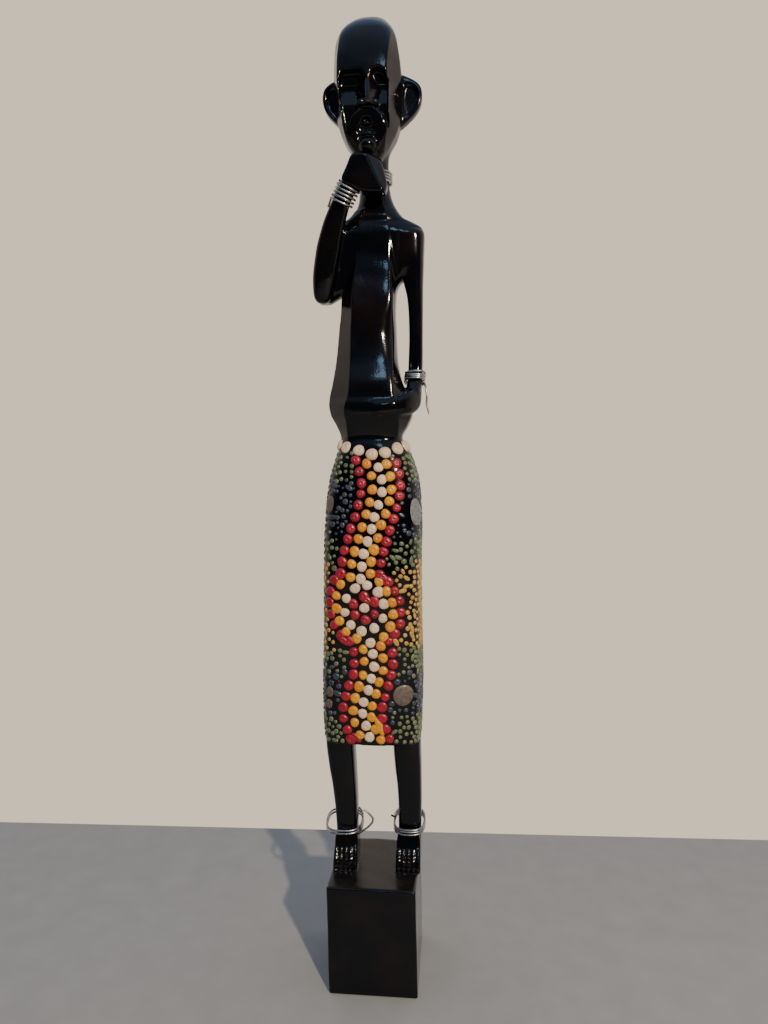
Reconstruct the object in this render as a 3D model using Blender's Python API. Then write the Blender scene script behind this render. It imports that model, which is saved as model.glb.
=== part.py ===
"""A slim carved figure of a standing man on a square block: black-painted wood with wire wound round it.

Metres, +Z up. The origin is the centre of the block's underside, and the figure faces -Y.
Right and left are the figure's own, so that its right side is at -X.
"""

import math

import bmesh
import bpy
from mathutils import Vector

# Driving sizes
STATUE_HEIGHT = 0.500
BLOCK_HEIGHT = 0.056
BLOCK_WIDTH = 0.0455
BLOCK_DEPTH = 0.055
BLOCK_LEAN = -0.0014  # how far the middle of the block's top stands to one side of the underside's
BLOCK_EDGE = 0.0008
WIRE_DIAMETER = 0.0011
WIRE_CLEARANCE = 0.0005  # between a wire and the wood inside it
COIL_GAP = 0.0008  # between the turns of an even coil
BUNCH_GAP = 0.0003  # between the turns of a close coil

# The figure is a free form: its pose and carving are shares of its own height.
# The tables below count in steps, up from the block's top, and the figure is FIGURE_STEPS tall.
FIGURE_STEPS = 444.0
STEP = (STATUE_HEIGHT - BLOCK_HEIGHT) / FIGURE_STEPS
TABLE_MIDDLE = -1.4  # where the middle of the block's top is in the tables
STANCE_STEPS = 45.5  # the width of block that the feet in the tables stand on
KNEE_STEPS = 70.0  # above this height the legs don't follow the block's width

ROUND = 2.0  # powers of the rings, from an ellipse to a square with round corners
SOFT = 2.8
FIRM = 3.4
SQUARE = 4.5
WIDE_RING = 30  # points in a ring of the body and head, of a limb, and of a toe or lip
SLIM_RING = 16
SMALL_RING = 6

# Rings of the upright forms: height, middle x, middle y, half width, half depth, power
SKIRT = [
    (72, -2.3, 0.0, 24.9, 20.8, SQUARE),
    (84, -2.2, 0.0, 25.4, 21.4, SQUARE),
    (100, -2.2, 0.0, 25.6, 21.7, SQUARE),
    (134, -2.3, 0.0, 25.1, 21.5, SQUARE),
    (165, -2.3, 0.0, 24.8, 21.2, SQUARE),
    (182, -2.2, 0.0, 24.6, 20.7, SQUARE),
    (197, -2.0, 0.0, 24.0, 19.8, 4.0),
    (207, -1.8, 0.0, 22.9, 18.7, 3.6),
    (215, -1.8, 0.0, 20.9, 17.4, FIRM),
    (221, -2.0, -0.2, 19.0, 16.1, 3.0),
    (227, -2.5, -0.4, 17.0, 14.6, SOFT),
]
TRUNK = [
    (220, -2.8, -0.5, 15.6, 13.4, SOFT),
    (229, -3.1, -0.6, 16.0, 13.7, SOFT),
    (235, -3.2, -1.0, 18.2, 15.2, SOFT),
    (241, -3.4, -1.5, 20.9, 18.0, 3.0),
    (245, -3.6, -1.8, 21.9, 18.1, FIRM),
    (249, -4.0, -1.8, 21.3, 17.3, FIRM),
    (256, -5.2, -1.6, 18.7, 16.6, 3.6),
    (269, -5.8, -1.0, 16.0, 14.4, 3.8),
    (284, -5.3, -0.5, 14.8, 12.9, 3.8),
    (296, -4.8, 0.0, 14.0, 12.2, 3.8),
    (312, -4.2, 0.0, 14.0, 11.8, 3.6),
    (326, -3.2, 0.2, 14.4, 11.0, FIRM),
    (337, -2.4, 0.3, 12.6, 9.4, 3.0),
    (344, -1.8, 0.4, 9.6, 8.2, SOFT),
]
SHOULDERS = [
    (304, -2.4, 0.3, 10.6, 8.6, FIRM),
    (309, -1.9, 0.3, 13.8, 8.8, FIRM),
    (313, -1.7, 0.3, 18.0, 9.0, FIRM),
    (319, -1.7, 0.3, 23.4, 9.4, FIRM),
    (325, -1.7, 0.4, 24.9, 9.7, FIRM),
    (332, -1.5, 0.5, 25.3, 9.7, 3.0),
    (336, -1.4, 0.5, 24.2, 9.3, SOFT),
    (338.6, -1.2, 0.5, 20.2, 8.9, SOFT),
    (341, -1.0, 0.5, 14.9, 8.6, SOFT),
    (344.5, -0.9, 0.5, 11.6, 8.4, 2.4),
    (349, -1.1, 0.5, 9.2, 8.2, 2.2),
    (354, -1.5, 0.5, 8.1, 8.1, ROUND),
    (360, -1.8, 0.4, 7.6, 8.0, ROUND),
    (368, -2.0, 0.0, 7.6, 8.2, ROUND),
    (376, -2.6, -1.0, 8.6, 9.2, ROUND),
]
HEAD = [
    (367.5, -3.4, -6.5, 6.0, 7.6, 2.4),
    (370, -3.5, -5.4, 7.6, 9.6, 2.4),
    (374, -3.7, -3.9, 10.1, 12.2, 2.5),
    (378.5, -4.0, -2.9, 12.5, 14.3, 2.6),
    (383, -4.1, -2.1, 14.5, 16.0, SOFT),
    (387.5, -4.2, -1.5, 15.8, 17.3, SOFT),
    (392, -4.4, -1.0, 16.6, 18.2, SOFT),
    (399, -4.8, -0.5, 17.2, 19.0, SOFT),
    (407, -5.0, 0.0, 17.3, 19.4, SOFT),
    (415, -5.1, 0.0, 16.9, 19.6, 2.7),
    (423.5, -5.2, 0.2, 16.0, 19.0, 2.6),
    (429.5, -5.3, 0.9, 14.9, 17.4, 2.5),
    (434.5, -5.3, 2.0, 13.2, 14.8, 2.4),
    (438.5, -5.1, 3.2, 10.4, 11.4, 2.3),
    (441.5, -4.7, 4.2, 7.1, 7.6, 2.2),
    (443.3, -4.4, 4.7, 3.8, 4.0, ROUND),
    (444, -4.2, 5.0, 1.2, 1.4, ROUND),
]
UPPER_RIGHT_ARM = [
    (298.6, -27.4, -1.5, 3.2, 3.6, 2.4),
    (301.5, -26.0, -1.0, 6.2, 5.4, SOFT),
    (305, -23.4, -0.5, 8.4, 6.2, FIRM),
    (310, -20.4, 0.0, 10.2, 6.8, FIRM),
    (324, -20.0, 0.4, 9.0, 7.6, 3.0),
    (333, -18.6, 0.5, 7.6, 7.8, SOFT),
]
RIGHT_LEG = [
    (6, -17.0, 4.2, 6.2, 8.4, SOFT),
    (20, -17.2, 4.0, 6.0, 7.2, 3.2),
    (32, -17.6, 3.6, 6.2, 7.4, FIRM),
    (44, -18.6, 3.2, 6.6, 7.8, 3.6),
    (56, -19.9, 3.0, 7.2, 8.2, 3.6),
    (66, -20.6, 2.8, 7.6, 8.6, 3.6),
    (76, -21.0, 2.6, 7.8, 8.8, 3.6),
]
LEFT_LEG = [
    (6, 16.4, 4.2, 6.2, 8.4, SOFT),
    (20, 16.9, 4.0, 6.2, 7.2, 3.2),
    (32, 16.9, 3.6, 6.3, 7.4, FIRM),
    (44, 16.5, 3.2, 6.6, 7.8, 3.6),
    (56, 15.8, 3.0, 7.2, 8.2, 3.6),
    (66, 15.3, 2.8, 7.4, 8.6, 3.6),
    (76, 15.2, 2.6, 7.4, 8.8, 3.6),
]

# Rings of the bent forms, square to the path: x, y, height, half width, half thickness
RIGHT_FOREARM = [
    (-28.6, -3.5, 298.6, 2.6, 3.6),
    (-28.2, -4.6, 302.0, 4.7, 5.4),
    (-27.0, -6.8, 311.0, 6.0, 5.8),
    (-25.0, -9.0, 322.0, 6.2, 5.4),
    (-22.2, -11.2, 333.0, 5.6, 5.0),
    (-18.6, -13.2, 343.0, 4.7, 4.4),
    (-14.8, -14.8, 350.5, 4.1, 4.0),
    (-10.6, -15.8, 357.0, 4.9, 4.2),
]
LEFT_ARM = [
    (17.6, 0.4, 334.0, 5.4, 8.2),
    (17.8, 0.4, 322.0, 5.9, 8.2),
    (18.2, 0.3, 311.0, 5.3, 7.0),
    (19.2, 0.2, 301.0, 4.2, 5.8),
    (19.6, 0.0, 291.0, 3.8, 5.0),
    (19.7, -0.2, 278.0, 3.6, 4.4),
    (19.5, -0.6, 266.0, 3.7, 4.2),
    (19.2, -2.0, 258.0, 3.7, 4.2),
    (18.2, -5.4, 251.0, 3.6, 4.6),
]
LEFT_HAND = [  # half height first
    (19.8, 0.5, 255.0, 4.0, 3.4),
    (18.8, -5.0, 250.0, 6.0, 3.4),
    (15.6, -12.4, 246.6, 6.4, 3.2),
    (10.4, -16.8, 245.0, 6.0, 2.8),
    (5.2, -18.6, 243.6, 5.0, 2.5),
    (1.4, -19.0, 243.0, 3.2, 2.0),
]

# Flat forms, as outlines of distance across and height
SLAB_RIM = 0.25  # where between its two ends a flat form is at its widest
RAISED_HAND = [
    (-15.0, 358.4),
    (-11.2, 366.0),
    (-7.6, 368.2),
    (1.6, 366.6),
    (3.6, 361.0),
    (5.6, 353.6),
    (4.6, 348.0),
    (-6.6, 349.0),
    (-8.0, 353.6),
]
RAISED_HAND_DEPTHS = (-20.6, -12.0)
RAISED_HAND_SHARES = (0.8, 0.9)
EAR = [
    (14.0, 413.5),
    (18.6, 412.0),
    (22.4, 410.0),
    (24.8, 407.5),
    (25.6, 404.0),
    (25.4, 400.0),
    (24.4, 396.5),
    (22.4, 393.0),
    (19.2, 389.5),
    (14.0, 385.5),
    (9.0, 388.0),
    (9.0, 411.0),
]
EAR_MIDDLE = -3.1  # the outlines of the ears and the face are on both sides of a middle line
EAR_DEPTHS = (-2.6, 3.8)
EAR_SHARES = (0.9, 0.85)
EAR_HOLLOW = [(18.4, 408.8), (22.6, 407.0), (24.0, 403.0), (23.4, 398.0), (20.8, 394.0), (17.6, 391.6)]
EAR_HOLLOW_DEPTHS = (-4.6, -1.0)
FACE_MIDDLE = -4.2
EYE_FIELD = [
    (0.6, 403.6),
    (3.0, 407.0),
    (10.4, 407.2),
    (12.2, 402.6),
    (11.4, 388.5),
    (9.4, 376.2),
    (7.4, 379.6),
    (3.2, 388.6),
    (0.6, 391.6),
]
EYE_FIELD_DEPTHS = (-32.0, -14.4)
MOUTH_FIELD = [(-1.2, 386.0), (-5.6, 377.6), (-4.6, 375.8), (4.6, 375.8), (5.6, 377.6), (1.2, 386.0)]
MOUTH_FIELD_DEPTHS = (-32.0, -16.4)
NOSE = [  # height, half width, how far forward its ridge stands
    (407.6, 3.6, -19.2),
    (404.0, 1.9, -18.4),
    (399.0, 3.2, -20.8),
    (394.0, 4.9, -23.2),
    (391.2, 5.4, -23.8),
    (389.8, 4.4, -20.0),
]
NOSE_ROOT = -12.0
NOSE_WING = -14.6
NOSE_RIDGE = 0.7  # half the width of its ridge
LIPS = [(382.6, 2.8, 1.1), (377.9, 3.9, 1.5)]  # height, half width, half height
LIP_MIDDLE = -15.8
LIP_REACH = 3.2
LIP_SHARES = [(-1.0, 0.3), (-0.5, 0.9), (0.0, 1.0), (0.5, 0.9), (1.0, 0.3)]  # place and size

# The feet: ridged toes on a sloping instep
FOOT = [  # y of the ring, half width, its top's height
    (12.4, 5.6, 10.0),
    (10.0, 6.0, 16.0),
    (4.0, 6.2, 20.0),
    (-2.4, 6.3, 20.0),
    (-5.2, 6.4, 13.0),
    (-7.6, 6.4, 6.4),
]
FOOT_SUNK = 2.0  # how deep the foot's underside lies in the block
TOE_COUNT = 5
TOE_SPREAD = 10.4  # between the middles of the outer toes
TOE_WIDTH = 1.2  # half of it
TOES = [(-3.2, 15.5), (-6.2, 10.0), (-8.4, 4.6), (-9.2, 0.8)]  # y and height along a toe's ridge

# Between the left arm and the chest
ARM_CREASE = [(11.2, 337.0), (12.0, 337.0), (11.8, 308.0), (10.4, 308.0)]
ARM_CREASE_DEPTHS = (-32.0, -6.4)

# The wires. Each coil is placed from the form that it is wound on. Free ends are points: x, y, height
WIRE_OUTSIDE = WIRE_CLEARANCE + WIRE_DIAMETER / 2
EVEN_PITCH = WIRE_DIAMETER + COIL_GAP
CLOSE_PITCH = WIRE_DIAMETER + BUNCH_GAP
TURN_POINTS = 14
RIGHT_WRIST_DROP = 7.4  # from the hand's end of the raised forearm down to the middle of its coil
RIGHT_WRIST_TURNS = 5.0
RIGHT_WRIST_SLACK = 0.3
RIGHT_WRIST_END = (-24.2, -12.4, 344.6)
WRIST_SPAN = 2.4
LEFT_WRIST_RISE = 9.0  # from the hand's end of the left arm up to the middle of its coil
LEFT_WRIST_TURNS = 4.4
LEFT_WRIST_SLACK = 0.2
LEFT_WRIST_START = -0.35
LEFT_WRIST_END = [
    (26.8, -4.0, 241.2),
    (26.1, -4.0, 243.7),
    (25.4, -4.0, 246.9),
    (25.6, -4.0, 249.9),
    (25.2, -3.6, 252.9),
    (24.8, -3.4, 255.4),
]
NECK_WIRE_DROP = 14.4  # from the neck's top ring down to the middle of its coil
NECK_TURNS = 4.0
ANKLE_RISE = 0.5  # from the top of the instep up to where an ankle's coil is fitted
# How each ankle's coil hangs: its middle's shift from the leg's, its slack across and along,
# its tilt in degrees, its turns and the angle that it starts at
RIGHT_ANKLE = ((-1.5, -0.2, 0.3), (2.6, 1.7), 14.0, 2.4, -0.7)
RIGHT_ANKLE_END = [
    (-7.4, -4.0, 30.9),
    (-4.5, -4.0, 28.5),
    (-2.6, -4.0, 25.9),
    (-2.9, -4.0, 24.2),
    (-4.7, -4.0, 21.9),
]
LEFT_ANKLE = ((-0.3, -0.1, 1.6), (0.9, 1.5), 10.0, 3.0, math.pi)
LEFT_ANKLE_END = (6.9, 2.0, 25.6)

BLACK_PAINT = (0.006, 0.006, 0.008, 1.0)
BARE_METAL = (0.60, 0.60, 0.58, 1.0)


def remove_all():
    for found in list(bpy.data.objects):
        bpy.data.objects.remove(found, do_unlink=True)


def material(name, colour, roughness, metallic):
    made = bpy.data.materials.new(name)
    made.use_nodes = True
    shader = made.node_tree.nodes["Principled BSDF"]
    shader.inputs["Base Color"].default_value = colour
    shader.inputs["Roughness"].default_value = roughness
    shader.inputs["Metallic"].default_value = metallic
    made.diffuse_color = colour
    return made


def place(x, y, height, side=0.0):
    """A point of the tables in the frame. On a side, 1 or -1, a leg's foot follows the block's width."""
    spread = (BLOCK_WIDTH - STANCE_STEPS * STEP) / 2
    reach = max(0.0, 1.0 - height / KNEE_STEPS)
    across = BLOCK_LEAN + (x - TABLE_MIDDLE) * STEP + side * spread * reach
    return Vector((across, y * STEP, BLOCK_HEIGHT + height * STEP))


def rounded(angle, power):
    """The point at an angle on a rounded square of this power, whose half sides are 1."""
    across = math.copysign(abs(math.cos(angle)) ** (2 / power), math.cos(angle))
    along = math.copysign(abs(math.sin(angle)) ** (2 / power), math.sin(angle))
    return across, along


def ring(middle, first, second, half_first, half_second, power, count):
    points = []
    count = round(count)
    for i in range(count):
        across, along = rounded(2 * math.pi * (i + 0.5) / count, power)
        points.append(middle + first * half_first * across + second * half_second * along)
    return points


def solid(name, rings):
    """A closed body through rings of equally many points, with flat ends."""
    shape = bmesh.new()
    rows = [[shape.verts.new(point) for point in points] for points in rings]
    for lower, upper in zip(rows, rows[1:]):
        for i in range(len(lower)):
            j = (i + 1) % len(lower)
            shape.faces.new((lower[i], lower[j], upper[j], upper[i]))
    shape.faces.new(rows[0][::-1])
    shape.faces.new(rows[-1])
    bmesh.ops.recalc_face_normals(shape, faces=shape.faces)
    mesh = bpy.data.meshes.new(name)
    shape.to_mesh(mesh)
    shape.free()
    return bpy.data.objects.new(name, mesh)


def upright(name, table, count, side=0.0):
    across = Vector((STEP, 0, 0))
    along = Vector((0, STEP, 0))
    rings = []
    for height, x, y, half_width, half_depth, power in table:
        middle = place(x, y, height, side)
        rings.append(ring(middle, across, along, half_width, half_depth, power, count))
    return solid(name, rings)


def bent(name, table, reference, power, count, side=0.0):
    """A form along a path. Each ring's first half size is the way that the reference points."""
    middles = [place(x, y, height, side) for x, y, height, _, _ in table]
    rings = []
    for i, row in enumerate(table):
        way = (middles[min(i + 1, len(middles) - 1)] - middles[max(i - 1, 0)]).normalized()
        first = (reference - way * reference.dot(way)).normalized()
        second = way.cross(first)
        rings.append(ring(middles[i], first * STEP, second * STEP, row[3], row[4], power, count))
    return solid(name, rings)


def slab(name, outline, middle, mirror, near, far, near_share, far_share):
    """A flat form from a near depth to a far one. Its outline is drawn in by a share at each end."""
    centre_x = sum(x for x, _ in outline) / len(outline)
    centre_height = sum(height for _, height in outline) / len(outline)
    rings = []
    for y, share in ((near, near_share), (near + (far - near) * SLAB_RIM, 1.0), (far, far_share)):
        points = []
        for x, height in outline:
            drawn_x = centre_x + (x - centre_x) * share
            drawn_height = centre_height + (height - centre_height) * share
            points.append(place(middle + mirror * drawn_x, y, drawn_height))
        rings.append(points)
    return solid(name, rings)


def block(name):
    corners = [(-1, -1), (1, -1), (1, 1), (-1, 1)]
    rings = []
    for height, shift in ((0.0, 0.0), (BLOCK_HEIGHT, BLOCK_LEAN)):
        half_width = BLOCK_WIDTH / 2
        half_depth = BLOCK_DEPTH / 2
        rings.append([Vector((shift + x * half_width, y * half_depth, height)) for x, y in corners])
    made = solid(name, rings)
    shape = bmesh.new()
    shape.from_mesh(made.data)
    bmesh.ops.bevel(shape, geom=shape.edges[:], offset=BLOCK_EDGE, segments=2, affect="EDGES")
    shape.to_mesh(made.data)
    shape.free()
    return made


def nose():
    """A wedge with its ridge in the middle, widest above its foot."""
    rings = []
    for height, half_width, ridge in NOSE:
        half_outline = [(half_width, NOSE_ROOT), (half_width, NOSE_WING), (NOSE_RIDGE, ridge)]
        outline = [(-x, y) for x, y in half_outline] + half_outline[::-1]
        rings.append([place(FACE_MIDDLE + x, y, height) for x, y in outline])
    return solid("nose", rings)


def feet():
    across = Vector((STEP, 0, 0))
    up = Vector((0, 0, STEP))
    made = []
    for side, leg in ((-1, RIGHT_LEG), (1, LEFT_LEG)):
        middle = leg[0][1]
        rings = []
        for y, half_width, top in FOOT:
            centre = place(middle, y, (top - FOOT_SUNK) / 2, side)
            half_height = (top + FOOT_SUNK) / 2
            rings.append(ring(centre, across, up, half_width, half_height, SQUARE, SLIM_RING))
        made.append(solid(f"foot_{side}", rings))
        for i in range(TOE_COUNT):
            x = middle + TOE_SPREAD * (i / (TOE_COUNT - 1) - 0.5)
            table = [(x, y, height, TOE_WIDTH, TOE_WIDTH) for y, height in TOES]
            made.append(bent(f"toe_{side}_{i}", table, across.normalized(), ROUND, SMALL_RING, side))
    return made


def gathered(name, members):
    """A hidden collection of helper bodies, for one Boolean."""
    collection = bpy.data.collections.new(name)
    bpy.context.scene.collection.children.link(collection)
    for member in members:
        collection.objects.link(member)
        member.hide_render = True
        member.display_type = "WIRE"
    return collection


def combine(target, operation, collection):
    modifier = target.modifiers.new(collection.name, "BOOLEAN")
    modifier.operation = operation
    modifier.operand_type = "COLLECTION"
    modifier.collection = collection
    modifier.solver = "EXACT"


def carved_figure(paint):
    across = Vector((1, 0, 0))
    up = Vector((0, 0, 1))
    figure = upright("carved_figure", SKIRT, WIDE_RING)
    bpy.context.scene.collection.objects.link(figure)
    figure.data.materials.append(paint)
    forms = [
        block("block"),
        upright("trunk", TRUNK, WIDE_RING),
        upright("shoulders", SHOULDERS, WIDE_RING),
        upright("head", HEAD, WIDE_RING),
        upright("upper_right_arm", UPPER_RIGHT_ARM, SLIM_RING),
        upright("right_leg", RIGHT_LEG, SLIM_RING, -1),
        upright("left_leg", LEFT_LEG, SLIM_RING, 1),
        bent("right_forearm", RIGHT_FOREARM, across, SOFT, SLIM_RING),
        bent("left_arm", LEFT_ARM, across, SOFT, SLIM_RING),
        bent("left_hand", LEFT_HAND, up, SOFT, SLIM_RING),
        slab("raised_hand", RAISED_HAND, 0.0, 1, *RAISED_HAND_DEPTHS, *RAISED_HAND_SHARES),
    ]
    cuts = [slab("arm_crease", ARM_CREASE, 0.0, 1, *ARM_CREASE_DEPTHS, 1.0, 1.0)]
    for mirror in (-1, 1):
        forms.append(slab(f"ear_{mirror}", EAR, EAR_MIDDLE, mirror, *EAR_DEPTHS, *EAR_SHARES))
        cuts.append(slab(f"eye_{mirror}", EYE_FIELD, FACE_MIDDLE, mirror, *EYE_FIELD_DEPTHS, 1.0, 1.0))
        hollow = slab(f"hollow_{mirror}", EAR_HOLLOW, EAR_MIDDLE, mirror, *EAR_HOLLOW_DEPTHS, *EAR_SHARES)
        cuts.append(hollow)
    cuts.append(slab("mouth", MOUTH_FIELD, FACE_MIDDLE, 1, *MOUTH_FIELD_DEPTHS, 1.0, 1.0))
    forms += feet()
    reliefs = [nose()]
    for i, (height, half_width, half_height) in enumerate(LIPS):
        table = []
        for x_share, size_share in LIP_SHARES:
            x = FACE_MIDDLE + half_width * x_share
            table.append((x, LIP_MIDDLE, height, half_height * size_share, LIP_REACH * size_share))
        reliefs.append(bent(f"lip_{i}", table, up, ROUND, SMALL_RING))
    combine(figure, "UNION", gathered("forms", forms))
    combine(figure, "DIFFERENCE", gathered("cuts", cuts))
    combine(figure, "UNION", gathered("reliefs", reliefs))
    return figure


def wire(name, points, metal):
    curve = bpy.data.curves.new(name, "CURVE")
    curve.dimensions = "3D"
    curve.bevel_depth = WIRE_DIAMETER / 2
    curve.bevel_resolution = 1
    curve.use_fill_caps = True
    spline = curve.splines.new("POLY")
    spline.points.add(len(points) - 1)
    for target, point in zip(spline.points, points):
        target.co = (*point, 1.0)
    made = bpy.data.objects.new(name, curve)
    bpy.context.scene.collection.objects.link(made)
    curve.materials.append(metal)
    return made


def coil(middle, first, second, half_first, half_second, power, turns, pitch, start):
    """Points of a coil. It advances square to its two ways by the pitch at each turn."""
    way = first.cross(second).normalized()
    count = round(turns * TURN_POINTS)
    points = []
    for i in range(count + 1):
        turn = turns * i / count
        across, along = rounded(start + 2 * math.pi * turn, power)
        risen = middle + way * pitch * (turn - turns / 2)
        points.append(risen + first * half_first * across + second * half_second * along)
    return points


def at_height(table, height):
    """The row of a bent form at a height, between the rows that it has, or on past its last one."""
    pairs = list(zip(table, table[1:]))
    around = [pair for pair in pairs if min(pair[0][2], pair[1][2]) <= height <= max(pair[0][2], pair[1][2])]
    lower, upper = (around or pairs[-1:])[0]
    share = (height - lower[2]) / (upper[2] - lower[2])
    return [a + (b - a) * share for a, b in zip(lower, upper)]


def upright_rows(table):
    return [(x, y, height, half_width, half_depth) for height, x, y, half_width, half_depth, _ in table]


def wrist_coil(table, height, turns, pitch, start, slack):
    """A coil square to a bent limb."""
    x, y, _, half_width, half_thickness = at_height(table, height)
    below = at_height(table, height - WRIST_SPAN)
    above = at_height(table, height + WRIST_SPAN)
    way = (place(*above[:3]) - place(*below[:3])).normalized()
    if way.z < 0:
        way = -way
    across = Vector((1, 0, 0))
    first = (across - way * way.dot(across)).normalized()
    second = way.cross(first)
    half_first = (half_width + slack) * STEP + WIRE_OUTSIDE
    half_second = (half_thickness + slack) * STEP + WIRE_OUTSIDE
    return coil(place(x, y, height), first, second, half_first, half_second, SOFT, turns, pitch, start)


def ankle_coil(leg, side, shift, slack, tilt, turns, start, pitch):
    """A loose coil that hangs tilted on an ankle, lower in front."""
    height = max(top for _, _, top in FOOT) + ANKLE_RISE
    x, y, _, half_width, half_depth = at_height(upright_rows(leg), height)
    first = Vector((1, 0, 0))
    second = Vector((0, math.cos(math.radians(tilt)), math.sin(math.radians(tilt))))
    middle = place(x + shift[0], y + shift[1], height + shift[2], side)
    half_first = (half_width + slack[0]) * STEP + WIRE_OUTSIDE
    half_second = (half_depth + slack[1]) * STEP + WIRE_OUTSIDE
    return coil(middle, first, second, half_first, half_second, SOFT, turns, pitch, start)


def neck_coil(turns, pitch, start):
    height = SHOULDERS[-1][0] - NECK_WIRE_DROP
    x, y, _, half_width, half_depth = at_height(upright_rows(SHOULDERS), height)
    half_first = half_width * STEP + WIRE_OUTSIDE
    half_second = half_depth * STEP + WIRE_OUTSIDE
    middle = place(x, y, height)
    first = Vector((1, 0, 0))
    second = Vector((0, 1, 0))
    return coil(middle, first, second, half_first, half_second, ROUND, turns, pitch, start)


def wires(metal):
    height = RIGHT_FOREARM[-1][2] - RIGHT_WRIST_DROP
    slack = RIGHT_WRIST_SLACK
    points = wrist_coil(RIGHT_FOREARM, height, RIGHT_WRIST_TURNS, EVEN_PITCH, math.pi, slack)
    wire("right_wrist_wire", [place(*RIGHT_WRIST_END)] + points, metal)
    height = LEFT_ARM[-1][2] + LEFT_WRIST_RISE
    slack = LEFT_WRIST_SLACK
    points = wrist_coil(LEFT_ARM, height, LEFT_WRIST_TURNS, CLOSE_PITCH, LEFT_WRIST_START, slack)
    wire("left_wrist_wire", [place(*end) for end in LEFT_WRIST_END] + points, metal)
    wire("neck_wire", neck_coil(NECK_TURNS, CLOSE_PITCH, math.pi / 2), metal)
    points = ankle_coil(RIGHT_LEG, -1, *RIGHT_ANKLE, EVEN_PITCH)
    wire("right_ankle_wire", [place(*end, -1) for end in RIGHT_ANKLE_END] + points, metal)
    points = ankle_coil(LEFT_LEG, 1, *LEFT_ANKLE, CLOSE_PITCH)
    wire("left_ankle_wire", points + [place(*LEFT_ANKLE_END, 1)], metal)


def main():
    remove_all()
    carved_figure(material("black_gloss_paint", BLACK_PAINT, 0.22, 0.0))
    wires(material("bare_metal_wire", BARE_METAL, 0.32, 1.0))


main()
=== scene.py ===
"""The looks of a slim carved figure of a standing man on a square block.

Black gloss paint on hand-carved wood, rows of raised paint dots on the wrapped skirt, and bare metal wire
round the wrists, the neck and the ankles. Shapes are worked out in millimetres, in the frame's own axes:
the origin is under the middle of the block, the figure faces -Y, and its right side is at -X.
"""

import math

import bpy
import numpy as np
from mathutils import Matrix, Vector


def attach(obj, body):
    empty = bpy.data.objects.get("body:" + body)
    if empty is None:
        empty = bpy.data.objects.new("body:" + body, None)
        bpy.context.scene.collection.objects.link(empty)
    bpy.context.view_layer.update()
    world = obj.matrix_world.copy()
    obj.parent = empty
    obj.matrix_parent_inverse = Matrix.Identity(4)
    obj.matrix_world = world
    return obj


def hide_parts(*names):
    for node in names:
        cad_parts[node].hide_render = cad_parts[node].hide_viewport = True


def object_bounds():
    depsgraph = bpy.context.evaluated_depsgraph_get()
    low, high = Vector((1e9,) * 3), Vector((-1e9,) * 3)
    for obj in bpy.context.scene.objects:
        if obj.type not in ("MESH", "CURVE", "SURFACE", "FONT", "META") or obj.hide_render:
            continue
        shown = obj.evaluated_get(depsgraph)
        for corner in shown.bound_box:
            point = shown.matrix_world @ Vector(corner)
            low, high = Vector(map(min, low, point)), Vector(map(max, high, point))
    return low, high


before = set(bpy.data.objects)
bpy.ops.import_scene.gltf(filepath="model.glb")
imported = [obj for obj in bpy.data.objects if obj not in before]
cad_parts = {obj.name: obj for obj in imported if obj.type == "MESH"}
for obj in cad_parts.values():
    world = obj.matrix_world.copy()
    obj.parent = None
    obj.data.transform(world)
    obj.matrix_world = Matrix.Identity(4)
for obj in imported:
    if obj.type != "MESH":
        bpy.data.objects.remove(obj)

CAD_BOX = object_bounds()
MM = 0.001
SEED = 11

# The photograph's frame and its camera, in pixels, degrees and millimetres
IMAGE_WIDTH = 768
IMAGE_HEIGHT = 1024
FOCAL_PIXELS = 769.0
CAMERA_TURN = 5.7
CAMERA_DISTANCE = 405.5
CAMERA_HEIGHT = 268.3
CAMERA_PITCH = -3.13
AXIS_COLUMN = 378.4  # the pixel column of the figure's upright axis
LONG_SENSOR = 36.0

# The block
BLOCK_TOP = 56.0
BLOCK_WIDTH = 45.5
BLOCK_DEPTH = 55.0
BLOCK_LEAN = -1.4
BLOCK_EDGE = 1.1

ROUND = 2.0  # powers of the rings, from an ellipse to a square with round corners
SOFT = 2.8
FIRM = 3.4
SQUARE = 4.5

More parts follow.
